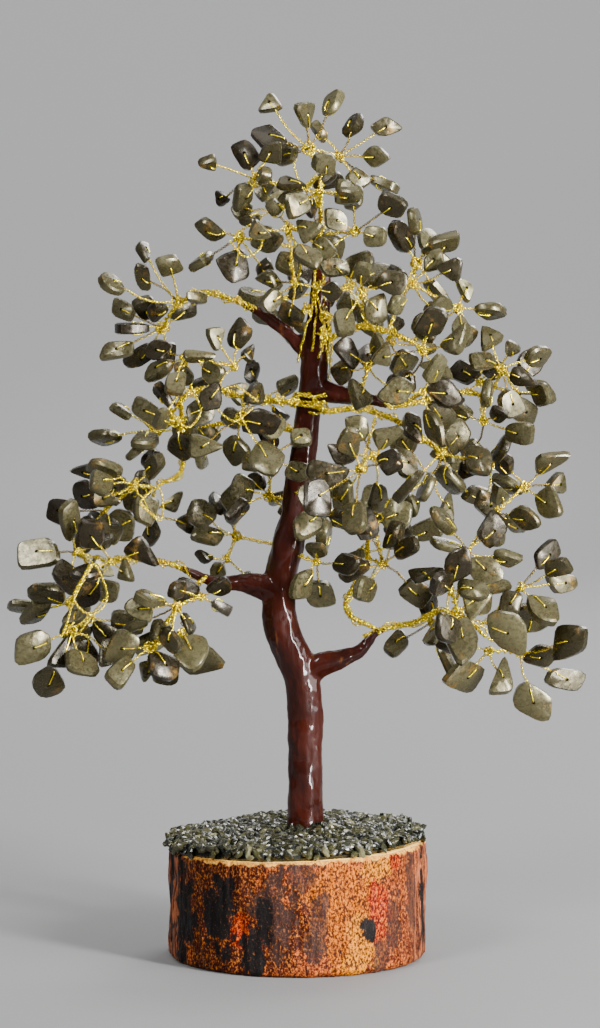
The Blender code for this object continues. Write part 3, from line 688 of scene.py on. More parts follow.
def foundLeaf(row, number, index, knot, surface):
    facts = leafFacts(100 * number + index, row[-1])
    for share in reachShares:
        for shift in depthShifts:
            middle = fanPlace(row, number, index, share, shift)
            leaf = laidLeaf(facts, knot, middle)
            tests = [middle + (leaf["along"] * a + leaf["across"] * b) * leafSizes["tested"]
                     for a, b in leaf["outline"]]
            if all(isInside(surface, test) for test in tests + [middle]):
                return leaf
    return None


sprayNodes = sorted(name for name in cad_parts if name.startswith("spray_"))
knots = []          # place, row
sideWires = []      # stops
leaves = []
owner = ""
counts = {}
surface = None
for number, row in enumerate(sprayTable):
    carrier = None
    earlierKnot = knots[-1][0] if row[0] == "twin" else None
    if row[0] != "twin":
        counts[row[0]] = counts.get(row[0], 0) + 1
        owner = "spray_" + row[0] + "_" + str(counts[row[0]])
        carrier = cadSurface("trunk" if row[0] == "trunk" else "bough_" + row[0])
        surface = cadSurface(owner)
    knot, stops = foundKnot(row, surface, carrier, earlierKnot)
    if knot is None:
        raise RuntimeError("no knot found for " + owner + " " + str(number))
    knots.append((knot, row))
    sideWires.append(stops)
    for index in range(row[6]):
        leaf = foundLeaf(row, number, index, knot, surface)
        if leaf:
            leaves.append(leaf)
print("stage: read", len(knots), "knots and", len(leaves), "leaves")

# small leaves deep inside the crown, where a fan has room for one more
innerLeaves = {"each": 2, "tries": 16, "size": 0.92, "apart": 0.0073, "near": 0.006, "far": 0.0125,
               "inset": 0.008, "fromKnots": 0.004, "steepest": 0.93}


def addInnerLeaves():
    low, high = (Vector(corner) for corner in cadBox)
    inset = Vector((1, 1, 1)) * innerLeaves["inset"]
    low, high = low + inset, high - inset
    for number, (knot, row) in enumerate(knots):
        rng = random.Random(4000 + number)
        for index in range(innerLeaves["each"]):
            leaf = leafFacts(9000 + 10 * number + index, row[-1] * innerLeaves["size"])
            for _ in range(innerLeaves["tries"]):
                way = Vector((rng.gauss(0, 1), rng.gauss(0, 0.8), rng.gauss(0, 1))).normalized()
                if abs(way.y) > innerLeaves["steepest"]:
                    continue
                middle = knot + way * rng.uniform(innerLeaves["near"], innerLeaves["far"])
                gap = min((middle - other["middle"]).length for other in leaves)
                knotGap = min((middle - other[0]).length for other in knots if other[0] != knot)
                inBox = all(low[axis] < middle[axis] < high[axis] for axis in range(3))
                if gap > innerLeaves["apart"] and knotGap > innerLeaves["fromKnots"] and inBox:
                    leaves.append(laidLeaf(leaf, knot, middle))
                    break


addInnerLeaves()
print("stage: with inner leaves", len(leaves))


# leaves
chipShape = {"swell": 1.25, "holeRadius": 0.00055, "holeDepth": 0.7, "shoulder": 0.88, "crease": 0.62,
             "wedge": 0.30, "cuts": ((0.09, 0.30), (0.14, 0.24))}


def roundedOutline(outline, rng):
    # cuts every corner twice, which leaves a worn outline with straight flanks
    points = [Vector(point) for point in outline]
    for low, high in chipShape["cuts"]:
        cut = []
        for index, point in enumerate(points):
            after = points[(index + 1) % len(points)]
            cut.append(point.lerp(after, rng.uniform(low, high)))
            cut.append(point.lerp(after, 1 - rng.uniform(low, high)))
        points = cut
    return [point * chipShape["swell"] for point in points]


def buildChips(name):
    points = []
    faces = []
    tones = []
    for leaf in leaves:
        rng = random.Random(leaf["seed"] + 7)
        ring = roundedOutline(leaf["outline"], rng)
        count = len(ring)
        half = leaf["thickness"] / 2
        wedge = rng.uniform(-chipShape["wedge"], chipShape["wedge"])     # one end is thinner
        reachMost = max(point.length for point in ring)
        hole = chipShape["holeRadius"]
        tone = rng.random()
        shoulder = chipShape["shoulder"] + rng.uniform(-0.08, 0.04)
        belly = rng.uniform(0.30, 0.62)
        levels = (("hole", 1 - chipShape["holeDepth"]), ("hole", 1.0), (shoulder, 0.85), (1.0, belly),
                  (1.0, -belly), (shoulder, -0.85), ("hole", -1.0), ("hole", chipShape["holeDepth"] - 1))
        base = len(points)
        for share, level in levels:
            for point in ring:
                flat = point.normalized() * hole if share == "hole" else point * share
                slope = 1 + wedge * flat.x / reachMost
                lift = level * half * slope
                points.append(leaf["middle"] + leaf["along"] * flat.x + leaf["across"] * flat.y
                              + leaf["facing"] * lift)
        faces.append([base + index for index in range(count)])
        faces += bandFaces(base, len(levels) - 1, count)
        last = base + (len(levels) - 1) * count
        faces.append([last + count - 1 - index for index in range(count)])
        tones += [tone] * (len(faces) - len(tones))
    mesh = meshFrom(name, points, faces)
    mesh.attributes.new("tone", "FLOAT", "FACE").data.foreach_set("value", tones)
    return addObject(name, mesh, finishes["chip"])


leafChips = buildChips("leafChips")
tidyShape = bmesh.new()
tidyShape.from_mesh(leafChips.data)
bmesh.ops.recalc_face_normals(tidyShape, faces=tidyShape.faces)
tidyShape.to_mesh(leafChips.data)
tidyShape.free()
leafChips.data.set_sharp_from_angle(angle=chipShape["crease"])
print("stage: chips built,", len(leafChips.data.polygons), "faces")


# wires
def addTwist(tree, paths, count, offset, pitch, step):
    # every path becomes count strands that wind round it
    feeds = {"Curve": paths, "Length": step}
    feeds = {"Geometry": firstOf(tree, "GeometryNodeResampleCurve", feeds, mode="LENGTH"), "Amount": count}
    copies = addStep(tree, "GeometryNodeDuplicateElements", feeds, domain="SPLINE").outputs
    length = addStep(tree, "GeometryNodeSplineParameter").outputs["Length"]
    turns = sum2(tree, sum2(tree, length, pitch, "DIVIDE"), sum2(tree, copies[1], count, "DIVIDE"))
    angle = sum2(tree, turns, math.tau, "MULTIPLY")
    normal = firstOf(tree, "GeometryNodeInputNormal")
    side = vec2(tree, firstOf(tree, "GeometryNodeInputTangent"), normal, "CROSS_PRODUCT")
    ahead = grown(normal, tree, math1(tree, angle, "COSINE"))
    away = vec2(tree, ahead, grown(side, tree, math1(tree, angle, "SINE")))
    radius = firstOf(tree, "GeometryNodeInputRadius")
    away = grown(away, tree, sum2(tree, radius, offset, "MULTIPLY"))
    moved = firstOf(tree, "GeometryNodeSetPosition", {"Geometry": copies[0], "Offset": away})
    return stored(tree, moved, "strand", copies[1], "CURVE")


def makeTwistedWireTree():
    # a bundle of cords round each path, every cord itself twisted from wires
    inputs = [("Cords", "Int"), ("Cord offset", "Float"), ("Cord pitch", "Float"), ("Wires", "Int"),
              ("Wire offset", "Float"), ("Wire pitch", "Float"), ("Wire radius", "Float"), ("Sides", "Int"),
              ("Step", "Float"), ("Wander", "Float"), ("Darkest", "Float"), ("Seed", "Int"),
              ("Finish", "Material")]
    tree, given, result = newTree("twistedWire", inputs)
    tone = addStep(tree, "FunctionNodeRandomValue", {3: given["Darkest"], "Seed": given["Seed"]},
                   data_type="FLOAT").outputs[1]
    paths = stored(tree, given["Geometry"], "tone", tone, "CURVE")
    cords = addTwist(tree, paths, given["Cords"], given["Cord offset"], given["Cord pitch"], given["Step"])
    spot = firstOf(tree, "GeometryNodeInputPosition")
    drift = addStep(tree, "ShaderNodeTexNoise", {"Vector": spot, "Scale": 330.0, "Detail": 1.0}).outputs[1]
    drift = grown(vec2(tree, drift, (0.5, 0.5, 0.5), "SUBTRACT"), tree, given["Wander"])
    cords = firstOf(tree, "GeometryNodeSetPosition", {"Geometry": cords, "Offset": drift})
    cords = firstOf(tree, "GeometryNodeSetCurveRadius", {"Curve": cords, "Radius": 1.0})
    wires = addTwist(tree, cords, given["Wires"], given["Wire offset"], given["Wire pitch"], given["Step"])
    feeds = {"Resolution": given["Sides"], "Radius": given["Wire radius"]}
    ring = firstOf(tree, "GeometryNodeCurvePrimitiveCircle", feeds)
    feeds = {"Curve": wires, "Profile Curve": ring, "Fill Caps": True}
    skin = firstOf(tree, "GeometryNodeCurveToMesh", feeds)
    smooth = firstOf(tree, "GeometryNodeSetShadeSmooth", {"Geometry": skin})
    return realized(tree, smooth, given, result)


twistedWire = makeTwistedWireTree()
# what all wires have in common, and what each sort has of its own
wireLook = {"Cords": 1, "Cord offset": 0.0, "Cord pitch": 0.01, "Wires": 2, "Wire offset": 0.00028,
            "Wire pitch": 0.0023, "Wire radius": 0.00016, "Sides": 4, "Step": 0.00034, "Darkest": 0.75}
wireSorts = {
    "boughWires": {"Cords": 4, "Cord offset": 0.00095, "Cord pitch": 0.0062, "Wire radius": 0.0002,
                   "Wander": 0.0006, "Darkest": 0.72, "Seed": 1},
    "sideWires": {"Cords": 2, "Cord offset": 0.0004, "Cord pitch": 0.007, "Wander": 0.001, "Seed": 2},
    "stemWires": {"Wander": 0.0004, "Darkest": 1.0, "Seed": 3},
    "faceWires": {"Wires": 1, "Wire offset": 0.0, "Wire radius": 0.0002, "Sides": 5, "Wander": 0.0,
                  "Seed": 4},
    "knotWires": {"Wander": 0.0002, "Seed": 5},
    "trunkWraps": {"Wander": 0.0003, "Seed": 6},
}


def twisted(name, paths):
    values = {**wireLook, **wireSorts[name], "Finish": finishes["gold"]}
    return finished(curveFrom(name, paths), twistedWire, values)


# the share of its width that a bundle has at its ends, and how fast it fills out
boughLook = {"widest": 2.0, "narrow": 0.55, "atEnds": 0.35, "fillsOut": 0.3, "drawsIn": 0.25}
boughRoots = {"right_low": (3.5, -4.2, 173.5)}       # where a bough's wires reach back to the trunk


def boughPaths():
    # the cords draw together at both ends, and run a little way into what carries them
    paths = []
    for name, (points, thick, thin) in boughs.items():
        line = smoothPath([place(*point) for point in points])
        if name in boughRoots:
            line = smoothPath([place(*boughRoots[name]), line[0]])[:-1] + line
        else:
            line.insert(0, line[0] * 2 - line[1])
            line.insert(0, line[0] * 2 - line[1])
        last = len(line) - 1
        path = []
        for index, spot in enumerate(line):
            width = (thick + (thin - thick) * index / last) / boughLook["widest"]
            width *= boughLook["narrow"] if name == "top" else 1.0
            share = min(1, boughLook["atEnds"] + boughLook["fillsOut"] * index,
                        boughLook["atEnds"] + boughLook["drawsIn"] * (last - index))
            path.append((spot, width * share))
        paths.append(path)
    return paths


# the stems' ends in metres, their sag as a share of their length, and the wire over a chip's edge
stemLook = {"short": 0.0003, "inward": 0.98, "sag": 0.09, "step": 0.0015, "before": 0.0008, "over": 0.86,
            "lift": 0.00012, "hole": 0.00016}


def stemPaths():
    # from the knot to the chip's edge
    paths = []
    for leaf in leaves:
        edge = edgeReach(leaf) * stemLook["inward"]
        end = leaf["middle"] - leaf["run"] * (edge + stemLook["short"])
        start = leaf["knot"]
        rng = random.Random(leaf["seed"] + 3)
        sag = Vector([rng.uniform(-1, 1) for _ in range(3)]) * (end - start).length * stemLook["sag"]
        paths.append(evenPath(smoothPath([start, (start + end) / 2 + sag, end], stemLook["step"])))
    return paths


def edgeReach(leaf):
    # how far the outline lies from its middle on the stem's side
    way = Vector((leaf["run"].dot(leaf["along"]), leaf["run"].dot(leaf["across"]))) * -1
    outline = leaf["outline"]
    reach = 0.0
    for first, second in zip(outline, outline[1:] + outline[:1]):
        side = second - first
        cross = way.x * side.y - way.y * side.x
        if abs(cross) < 1e-12:
            continue
        along = (first.x * side.y - first.y * side.x) / cross
        share = (first.x * way.y - first.y * way.x) / cross
        if along > 0 and -0.001 <= share <= 1.001:
            reach = max(reach, along)
    return reach


def facePaths():
    # the two ends of a stem lie over the chip's faces and meet in its hole
    paths = []
    for leaf in leaves:
        edge = edgeReach(leaf)
        half = leaf["thickness"] / 2
        # how far back along the stem, then how far out from the chip's middle
        stops = ((edge + stemLook["before"], 0.0), (edge, half * 0.6),
                 (edge * stemLook["over"], half + stemLook["lift"]), (0.0008, half + stemLook["hole"]),
                 (0.0002, half * 0.85), (0.0, half * 0.5))
        for side in (1, -1):
            out = leaf["facing"] * side
            paths.append(evenPath([leaf["middle"] - leaf["run"] * back + out * rise for back, rise in stops]))
    return paths


tangleLook = {"turns": 3, "perTurn": 9, "drift": 0.13, "most": 1.1}


def tangle(middle, radius, rng, least=0.72):
    # a few loose turns of wire wound round one place
    look = tangleLook
    axis = gaussWay(rng)
    arm = axis.orthogonal().normalized()
    drift = gaussWay(rng)
    path = []
    for part in range(look["perTurn"] * look["turns"] + 1):
        turned = Matrix.Rotation(part * math.tau / look["perTurn"], 3, axis) @ arm
        turned = Matrix.Rotation(part * look["drift"], 3, drift) @ turned
        path.append((middle + turned * radius * rng.uniform(least, look["most"]), 1.0))
    return path


def knotPaths():
    paths = []
    for number, (knot, row) in enumerate(knots):
        rng = random.Random(900 + number)
        radius = wire["knot"] * rng.uniform(0.62, 0.95) * (1.12 if row[6] > 3 else 0.9)
        paths.append(tangle(knot, radius, rng))
    return paths


boughWires = twisted("boughWires", boughPaths())
sideTwists = twisted("sideWires", [evenPath(smoothPath(stops)) for stops in sideWires])
stemWires = twisted("stemWires", stemPaths())
faceWires = twisted("faceWires", facePaths())
knotWires = twisted("knotWires", knotPaths())
for piece in (boughWires, sideTwists, stemWires, faceWires, knotWires):
    print("  ", piece.name, len(piece.data.polygons), "faces")
print("stage: wires twisted")


# trunk
trunkLook = {"voxel": 0.0006, "swell": 1.03, "ridge": 0.00034, "lump": 0.00042, "ridges": 5,
             "footRadii": (0.0061, 0.0058), "intoTrunk": 0.002}

# how far the resin has run out along the boughs: x, depth, z, then half its width
resinCreep = {
    "low_left": (((-30.5, -1, 119.3), 1.45), ((-34, 0, 121), 1.15), ((-38, 1, 122.6), 0.8)),
    "low_right": (((24.5, -1, 101.8), 1.4), ((28, -1, 103.1), 1.0)),
    "high_right": (((23, 0, 174.7), 1.9), ((28, 1, 173.3), 1.2)),
    "high_left": (((-13.5, 0, 202.8), 1.5), ((-17, -1, 204.5), 1.0)),
    "top": (((7.2, -0.5, 206), 3.3), ((7.4, -0.5, 214), 2.8), ((7.4, -0.5, 221), 1.6)),
}


def lineTube(line, swell=1.0, sides=14):
    # a closed tube with smooth bends along points that carry half widths
    spots = smoothPath([place(*stop[:3]) for stop in line])
    knobs = [place(*stop[:3]) for stop in line]
    widths = []
    for spot in spots:
        order = sorted(range(len(knobs)), key=lambda index: (knobs[index] - spot).length)[:2]
        near, far = ((knobs[index] - spot).length for index in order)
        share = near / max(near + far, 1e-9)
        widths.append((line[order[0]][3] * (1 - share) + line[order[1]][3] * share) * reading["grow"] * swell)
    curve = bpy.data.curves.new("tube", "CURVE")
    curve.dimensions = "3D"
    curve.bevel_depth = 1.0
    curve.bevel_resolution = (sides - 4) // 2
    curve.use_fill_caps = True
    spline = curve.splines.new("POLY")
    spline.points.add(len(spots) - 1)
    for point, spot, width in zip(spline.points, spots, widths):
        point.co = (*spot, 1)
        point.radius = width
    return plainMesh(addObject("tube", curve)), spots, widths


def joinedMesh(name, things):
    whole = bmesh.new()
    for thing in things:
        whole.from_mesh(thing.data)
        bpy.data.objects.remove(thing, do_unlink=True)
    bmesh.ops.remove_doubles(whole, verts=whole.verts, dist=0.000001)
    mesh = meshOf(name, whole)
    whole.free()
    return addObject(name, mesh)


def buildTrunk():
    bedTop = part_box("trunk")[0].z
    foot = place(*trunkLine[0][:3])
    lines = []
    tubes = []
    creeps = [(*(limbLines.get(name) or trunkLine[-3:]), *((*stop, width) for stop, width in stops))
              for name, stops in resinCreep.items()]
    for line in (trunkLine, *limbLines.values(), *creeps):
        tube, spots, widths = lineTube(line, trunkLook["swell"])
        tubes.append(tube)
        lines.append((spots, widths))
    base = bmesh.new()                  # the foot runs down through the stones to the wood
    bottom, top = trunkLook["footRadii"]
    footTop = foot.z + trunkLook["intoTrunk"]
    bmesh.ops.create_cone(base, cap_ends=True, segments=24, radius1=bottom, radius2=top,
                          depth=footTop - bedTop,
                          matrix=Matrix.Translation((foot.x, foot.y, (footTop + bedTop) / 2)))
    tubes.append(addObject("foot", meshOf("foot", base)))
    trunk = joinedMesh("resinTrunk", tubes)
    remesh = trunk.modifiers.new("skin", "REMESH")
    remesh.mode = "VOXEL"
    remesh.voxel_size = trunkLook["voxel"]
    relax = trunk.modifiers.new("relax", "SMOOTH")
    relax.factor = 0.5
    relax.iterations = 6
    trunk = plainMesh(trunk)
    trunk.name = "resinTrunk"
    trunk.data.calc_loop_triangles()
    normals = [vertex.normal.copy() for vertex in trunk.data.vertices]
    for vertex, normal in zip(trunk.data.vertices, normals):
        best = None
        for number, (spots, widths) in enumerate(lines):
            index = min(range(len(spots)), key=lambda i: (spots[i] - vertex.co).length_squared)
            gap = (spots[index] - vertex.co).length - widths[index]
            if best is None or gap < best[0]:
                best = (gap, number, index)
        _, number, index = best
        spots = lines[number][0]
        ahead = spots[min(index + 1, len(spots) - 1)] - spots[max(index - 1, 0)]
        along = ahead.normalized()
        facing = frontOf(along)
        arm = vertex.co - spots[index]
        turn = math.atan2(arm.dot(along.cross(facing)), arm.dot(facing))
        length = index * lineStep + arm.dot(along)
        wander = 1.3 * noise.noise(Vector((number * 7.1, length * 60, 0)))
        strand = math.sin(trunkLook["ridges"] * turn + wander * 2 + length * 45)
        fade = 0.5 + 0.5 * noise.noise(Vector((math.cos(turn), math.sin(turn), length * 90 + number * 3)))
        lump = noise.fractal(Vector((vertex.co.x * 190, vertex.co.y * 190, vertex.co.z * 120)), 1.0, 2.1, 3)
        push = strand * fade * trunkLook["ridge"] + lump * trunkLook["lump"] - trunkLook["ridge"] * 0.4
        vertex.co += normal * push
    trunk.data.shade_smooth()
    trunk.data.materials.clear()
    trunk.data.materials.append(finishes["resin"])
    return trunk, lines


resinTrunk, trunkLines = buildTrunk()
print("stage: trunk built,", len(resinTrunk.data.polygons), "faces")


def wrapPath(points, radii, turns, start, jitter, seed):
    # a wire wound round a line from its first point to its last
    rng = random.Random(seed)
    count = max(int(abs(turns) * 12), len(points))
    path = []
    for part in range(count + 1):
        share = part / count
        spot = share * (len(points) - 1)
        low = min(int(spot), len(points) - 2)
        centre = points[low].lerp(points[low + 1], spot - low)
        radius = radii[low] + (radii[low + 1] - radii[low]) * (spot - low)
        along = (points[low + 1] - points[low]).normalized()
        facing = frontOf(along)
        side = along.cross(facing)
        turn = start + turns * math.tau * share
        radius += rng.uniform(-0.1, 1) * jitter
        path.append((centre + facing * math.cos(turn) * radius + side * math.sin(turn) * radius
                     + along * rng.uniform(-1, 1) * jitter, 1.0))
    return path


# heights in metres: the band round the trunk, and where its upper strands may start
wrapLook = {"bandLow": 0.1705, "bandHigh": 0.1775, "bandTurns": 2.0, "bands": 3, "off": 0.0005,
            "apart": 0.0003, "strandsFrom": 0.180, "strands": 8}


def buildWraps():
    look = wrapLook
    paths = []
    spots, widths = trunkLines[0]
    band = [index for index, spot in enumerate(spots) if look["bandLow"] < spot.z < look["bandHigh"]]
    for number in range(look["bands"]):
        radii = [widths[i] + look["off"] + number * look["apart"] for i in band]
        paths.append(wrapPath([spots[i] for i in band], radii, look["bandTurns"], number * 1.3, 0.0006,
                              38 + number))
    top = smoothPath([place(*point) for point in boughs["top"][0]])
    thick, thin = boughs["top"][1:]
    fades = [(thick + (thin - thick) * index / (len(top) - 1)) * reading["grow"] for index in range(len(top))]
    # strands that run down over the trunk's top, and the tangles between them
    high = [index for index, spot in enumerate(spots) if spot.z > look["strandsFrom"]]
    run = [spots[i] for i in high] + top
    reaches = [widths[i] + 0.0004 for i in high] + [fade + 0.0002 for fade in fades]
    for number in range(look["strands"]):
        rng = random.Random(130 + number)
        first = rng.randint(0, 5)
        last = rng.randint(len(high), len(high) + len(top) * 2 // 3)
        paths.append(wrapPath(run[first:last], reaches[first:last], rng.uniform(-0.45, 0.45),
                              rng.uniform(-1.6, 1.6), 0.0008, 150 + number))
    for number, (x, depth, z, radius) in enumerate(wireTangles):
        paths.append(tangle(place(x, depth, z), radius, random.Random(170 + number), 0.1))
    # loose turns along the boughs, and loops that stand free of them
    for number, (points, thick, thin) in enumerate(boughs.values()):
        line = smoothPath([place(*point) for point in points])
        length = lineStep * len(line)
        rng = random.Random(70 + 3 * number)
        first = rng.randint(0, len(line) // 3)
        radii = [rng.uniform(0.0009, 0.0017) for _ in line]
        turns = length * rng.uniform(55, 110) * rng.choice((-1, 1))
        paths.append(wrapPath(line[first:], radii[first:], turns, rng.uniform(0, 6), 0.0005, 90 + 3 * number))
    for depth, loop in wireLoops:
        paths.append(evenPath(smoothPath([place(x, depth, z) for x, z in loop], 0.001)))
    return paths


# x, depth, z and reach of tangles of wire round the trunk's top
wireTangles = (
    (8.0, -6.0, 195.0, 0.0034), (9.0, -5.0, 201.0, 0.0024), (3.0, -6.5, 203.0, 0.0024),
    (-1.0, -6.0, 174.0, 0.0022), (6.0, -6.0, 173.5, 0.0022), (-6.0, -6.0, 174.5, 0.0026),
    (7.0, -4.0, 210.0, 0.0026), (6.0, -4.0, 218.0, 0.0022),
)

# depth, then x and z of the corners of loops of wire that can be seen from the front
wireLoops = (
    (-25, ((-64, 123.5), (-70, 113), (-64.5, 107.4), (-59.5, 113), (-64, 123.5), (-69.3, 113.6))),
    (-24, ((-64, 123), (-69.4, 113.4), (-72, 105), (-74, 100))),
    (-24, ((-59.8, 113), (-64, 107.6), (-68, 102))),
    (-20, ((-49, 142.4), (-42.6, 137), (-43, 147), (-49, 142.4), (-43.4, 137.6))),
    (-26, ((-40, 172), (-35, 178), (-30, 172), (-34, 166), (-40, 171))),
    (-20, ((-12, 174), (-20, 179), (-26, 174), (-20, 168), (-14, 172))),
    (-22, ((-20, 225), (-14, 229), (-11, 223), (-16, 219), (-21, 224))),
    (-8, ((14.6, 109.8), (18, 113.5), (21.9, 115.7), (23.5, 120), (26.6, 125.7))),
)
trunkWraps = twisted("trunkWraps", buildWraps())


# log
logLook = {"around": 320, "up": 34, "groove": 0.00055, "plate": 0.0005, "rim": 0.0009, "wider": 1.024,
           "lowest": 0.0004, "rise": 0.033, "nudges": (-0.16, -0.08, 0.0, 0.08, 0.16), "caps": (0.93, 0.5)}


def buildLog():
    surface = cadSurface("log_base")
    around, up = logLook["around"], logLook["up"]
    points = []
    for level in range(up + 1):
        share = level / up
        for index in range(around):
            turn = math.tau * index / around
            way = Vector((math.cos(turn), math.sin(turn), 0))
            height = logLook["lowest"] + share * logLook["rise"]
            radius = 0.0
            for nudge in logLook["nudges"]:
                near = Matrix.Rotation(nudge, 3, "Z") @ way
                spot = surface.ray_cast(near * 0.1 + Vector((0, 0, height)), -near)[0]
                radius += math.hypot(spot.x, spot.y) / 5
            topHeight = surface.ray_cast(way * 0.030 + Vector((0, 0, 0.1)), Vector((0, 0, -1)))[0].z
            height = share * topHeight
            grooves = noise.noise(Vector((way.x * 24, way.y * 24, share * 1.6)))
            plates = noise.fractal(Vector((way.x * 9, way.y * 9, share * 3.5)), 1.0, 2.0, 4)
            push = -abs(grooves) * logLook["groove"] * 2 + plates * logLook["plate"]
            edge = min(share, 1 - share) * up
            push -= logLook["rim"] * max(0, 1 - edge / 1.6) ** 2
            radius = radius * logLook["wider"] + push
            points.append(way * radius + Vector((0, 0, height)))
    faces = bandFaces(0, up, around, turned=True)
    bark = len(faces)
    for level, order in ((0, -1), (up, 1)):
        outer = [level * around + index for index in range(around)]
        for reach in logLook["caps"]:
            ring = []
            for index in range(around):
                spot = points[level * around + index]
                ring.append(len(points))
                points.append(Vector((spot.x * reach, spot.y * reach, spot.z)))
            for index in range(around):
                after = (index + 1) % around
                quad = [outer[index], outer[after], ring[after], ring[index]]
                faces.append(quad if order == 1 else quad[::-1])
            outer = ring
        faces.append(outer if order == 1 else outer[::-1])
    mesh = meshFrom("barkedLog", points, faces)
    mesh.materials.append(finishes["bark"])
    mesh.materials.append(finishes["wood"])
    mesh.polygons.foreach_set("material_index", [0] * bark + [1] * (len(faces) - bark))
    rises = [level / up for level in range(up + 1) for _ in range(around)]
    rises += [0.0] * (len(points) - len(rises))
    mesh.attributes.new("rise", "FLOAT", "POINT").data.foreach_set("value", rises)
    return addObject("barkedLog", mesh)


barkedLog = buildLog()
print("stage: log built,", len(barkedLog.data.polygons), "faces")


# crushed stones
bedLook = {"amount": 900000.0, "smallest": 0.0022, "largest": 0.0038, "apart": 0.0017, "sink": 0.0009,
           "seed": 4, "shapes": 8, "drawnIn": 0.975, "wider": 1.01, "heap": 0.0026, "heapReach": 0.011,
           "steepest": -0.15, "tip": 0.7, "glueInset": 0.975}


def crumb(name, seed):
    # one broken stone of a few dozen faces
    rng = random.Random(seed)
    shape = bmesh.new()
    bmesh.ops.create_uvsphere(shape, u_segments=8, v_segments=5, radius=0.5)
    stretch = Vector((rng.uniform(1.1, 1.8), rng.uniform(0.60, 0.90), rng.uniform(0.45, 0.65)))
    for corner in shape.verts:
        corner.co *= rng.uniform(0.80, 1.16)
        corner.co = Vector((corner.co.x * stretch.x, corner.co.y * stretch.y, corner.co.z * stretch.z))
    mesh = meshOf(name, shape)
    shape.free()
    return addObject(name, mesh)


def makeScatterTree(shapes):
    # stones laid at random over the upper side of a mesh
    inputs = [("Amount", "Float"), ("Smallest", "Float"), ("Largest", "Float"), ("Apart", "Float"),
              ("Seed", "Int"), ("Finish", "Material")]
    tree, given, result = newTree("scatteredStones", inputs)
    normal = firstOf(tree, "GeometryNodeInputNormal")
    upward = addStep(tree, "ShaderNodeSeparateXYZ", {0: normal}).outputs[2]
    chosen = firstOf(tree, "FunctionNodeCompare", {0: upward, 1: bedLook["steepest"]}, data_type="FLOAT",
                     operation="GREATER_THAN")
    spread = addStep(tree, "GeometryNodeDistributePointsOnFaces",
                     {"Mesh": given["Geometry"], "Selection": chosen, "Density Max": given["Amount"],
                      "Distance Min": given["Apart"], "Seed": given["Seed"]}, distribute_method="POISSON")
    joined = addStep(tree, "GeometryNodeJoinGeometry")
    for shape in reversed(shapes):
        info = addStep(tree, "GeometryNodeObjectInfo", {"Object": shape, "As Instance": True})
        tree.links.new(info.outputs["Geometry"], joined.inputs[0])
    size = addStep(tree, "FunctionNodeRandomValue", {2: given["Smallest"], 3: given["Largest"],
                                                     "Seed": given["Seed"]}, data_type="FLOAT").outputs[1]
    tip = bedLook["tip"]
    turn = firstOf(tree, "FunctionNodeRandomValue", {0: (-tip, -tip, 0.0), 1: (tip, tip, math.tau)},
                   data_type="FLOAT_VECTOR")
    euler = firstOf(tree, "FunctionNodeEulerToRotation", {0: turn})
    rotated = firstOf(tree, "FunctionNodeRotateRotation", {0: spread.outputs["Rotation"], 1: euler},
                      rotation_space="LOCAL")
    laid = firstOf(tree, "GeometryNodeInstanceOnPoints",
                   {"Points": spread.outputs[0], "Instance": joined.outputs[0], "Pick Instance": True,
                    "Rotation": rotated, "Scale": size})
    tone = addStep(tree, "FunctionNodeRandomValue", {"Seed": 9}, data_type="FLOAT").outputs[1]
    return realized(tree, stored(tree, laid, "tone", tone, "INSTANCE"), given, result)


def buildStones():
    crumbs = [crumb("crumb" + str(number), 60 + number) for number in range(bedLook["shapes"])]
    foot = place(*trunkLine[0][:3])
    ground = bmesh.new()
    ground.from_mesh(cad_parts["stone_bed"].data)
    bmesh.ops.remove_doubles(ground, verts=ground.verts, dist=0.000001)
    for corner in ground.verts:
        away = math.hypot(corner.co.x - foot.x, corner.co.y - foot.y) / bedLook["heapReach"]
        corner.co.z += bedLook["heap"] * math.exp(-away * away) - bedLook["sink"]
        corner.co.x *= bedLook["wider"]
        corner.co.y *= bedLook["drawnIn"] if corner.co.y < 0 else bedLook["wider"]
    tree = makeScatterTree(crumbs)
    values = {label: bedLook[label.lower()] for label in ("Amount", "Smallest", "Largest", "Apart", "Seed")}
    values["Finish"] = finishes["stone"]
    stones = finished(addObject("crushedStones", meshOf("ground", ground)), tree, values)
    for thing in crumbs:
        bpy.data.objects.remove(thing, do_unlink=True)
    stones.data.shade_flat()
    for corner in ground.verts:
        corner.co.x *= bedLook["glueInset"]
        corner.co.y *= bedLook["glueInset"]
    under = meshOf("glueBed", ground)
    ground.free()
    return stones, addObject("glueBed", under, finishes["stone"])


crushedStones, glueBed = buildStones()
print("stage: stones laid,", len(crushedStones.data.polygons), "faces")


# joining the looks to the frame
boughNodes = sorted(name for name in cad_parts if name.startswith("bough_"))
roles = (
    (leafChips, "leaf_stone", sprayNodes), (boughWires, "gold_wire", boughNodes),
    (sideTwists, "gold_wire", ()), (stemWires, "gold_wire", ()), (faceWires, "gold_wire", ()),
    (knotWires, "gold_wire", ()),
    (trunkWraps, "gold_wire", ()), (resinTrunk, "resin", ("trunk",)), (barkedLog, "bark", ("log_base",)),
    (crushedStones, "crushed_stone", ()), (glueBed, "crushed_stone", ("stone_bed",)),
)
for piece, finishSlot, replaced in roles:
    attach(piece, "root")
    if replaced:
        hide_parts(*replaced)


# stage, light and camera
studio = {"floor": 0.17, "world": 0.45, "flat": 1.4, "bend": 1.2, "top": 2.4, "around": 72, "bends": 14}
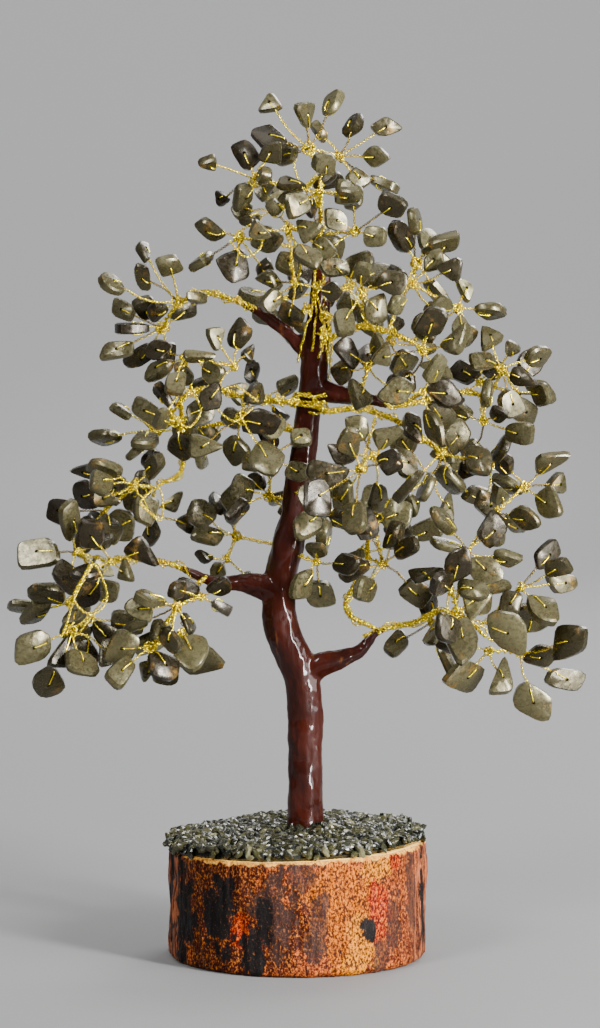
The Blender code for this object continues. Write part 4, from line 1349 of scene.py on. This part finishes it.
# where a softbox stands, what it faces, its width and height, and its power
softboxes = {
    "keySoftbox": ((-0.75, -0.95, 0.95), (0, 0, 0.14), (0.34, 0.45), 20),
    "fillSoftbox": ((1.02, -0.62, 0.36), (0, 0, 0.14), (0.6, 0.8), 18),
    "rimSoftbox": ((0.5, 0.9, 0.8), (0, 0, 0.16), (0.6, 0.5), 9),
    "overheadSoftbox": ((0, -0.1, 1.3), (0, 0, 0.1), (0.8, 0.8), 5),
    "backdropSoftbox": ((0, 0.9, 1.5), (0, 2.6, 0.2), (1.2, 0.5), 62),
    "stripSoftbox": ((0.80, -0.82, 0.40), (0, 0, 0.13), (0.16, 0.9), 60),
}
# the soft pool of light on the floor behind the tree
pool = {"stands": (0, 0.2, 1.2), "faces": (0, 1.65, 0), "power": 90, "cone": 20, "softness": 0.1}
view = {"lens": 135.0, "sensor": 36.0, "eye": (0.00083, -1.2, 0.22958), "pitch": 85.68}


def addLamp(name, kind, stands, faces, power):
    light = bpy.data.lights.new(name, kind)
    light.energy = power
    lamp = addObject(name, light)
    lamp.location = stands
    lamp.rotation_euler = (Vector(faces) - Vector(stands)).to_track_quat("-Z", "Y").to_euler()
    return light


def sweptFloor(name):
    # a round floor that curves up into a wall, so that no edge is seen behind the tree
    flat, bend, top = studio["flat"], studio["bend"], studio["top"]
    around, bends = studio["around"], studio["bends"]
    profile = [(flat * 0.5, 0.0), (flat, 0.0)]
    for index in range(1, bends + 1):
        turn = math.pi / 2 * index / bends
        profile.append((flat + bend * math.sin(turn), bend * (1 - math.cos(turn))))
    profile.append((flat + bend, top))
    turns = [math.tau * index / around for index in range(around)]
    points = [Vector((reach * math.cos(turn), reach * math.sin(turn), rise))
              for reach, rise in profile for turn in turns]
    return meshFrom(name, points, [list(range(around))] + bandFaces(0, len(profile) - 1, around))


def buildStage():
    grey = [studio["floor"]] * 3 + [1]
    finish = newFinish("paleFloor", {"Roughness": 0.75, "Base Color": grey})[0]
    floor = addObject("floor", sweptFloor("floor"), finish)
    world = bpy.data.worlds.new("studioAir")
    world.use_nodes = True
    world.node_tree.nodes["Background"].inputs[0].default_value = [studio["world"]] * 3 + [1]
    bpy.context.scene.world = world
    for name, (stands, faces, size, power) in softboxes.items():
        light = addLamp(name, "AREA", stands, faces, power)
        light.shape = "RECTANGLE"
        light.size, light.size_y = size
    light = addLamp("backdropSpot", "SPOT", pool["stands"], pool["faces"], pool["power"])
    light.spot_size = math.radians(pool["cone"])
    light.spot_blend = 1.0
    light.shadow_soft_size = pool["softness"]
    camera = bpy.data.cameras.new("photoCamera")
    camera.lens = view["lens"]
    camera.sensor_width = view["sensor"]
    eye = addObject("photoCamera", camera)
    eye.location = view["eye"]
    eye.rotation_euler = (math.radians(view["pitch"]), 0, 0)
    bpy.context.scene.camera = eye


buildStage()
print("stage: studio set")
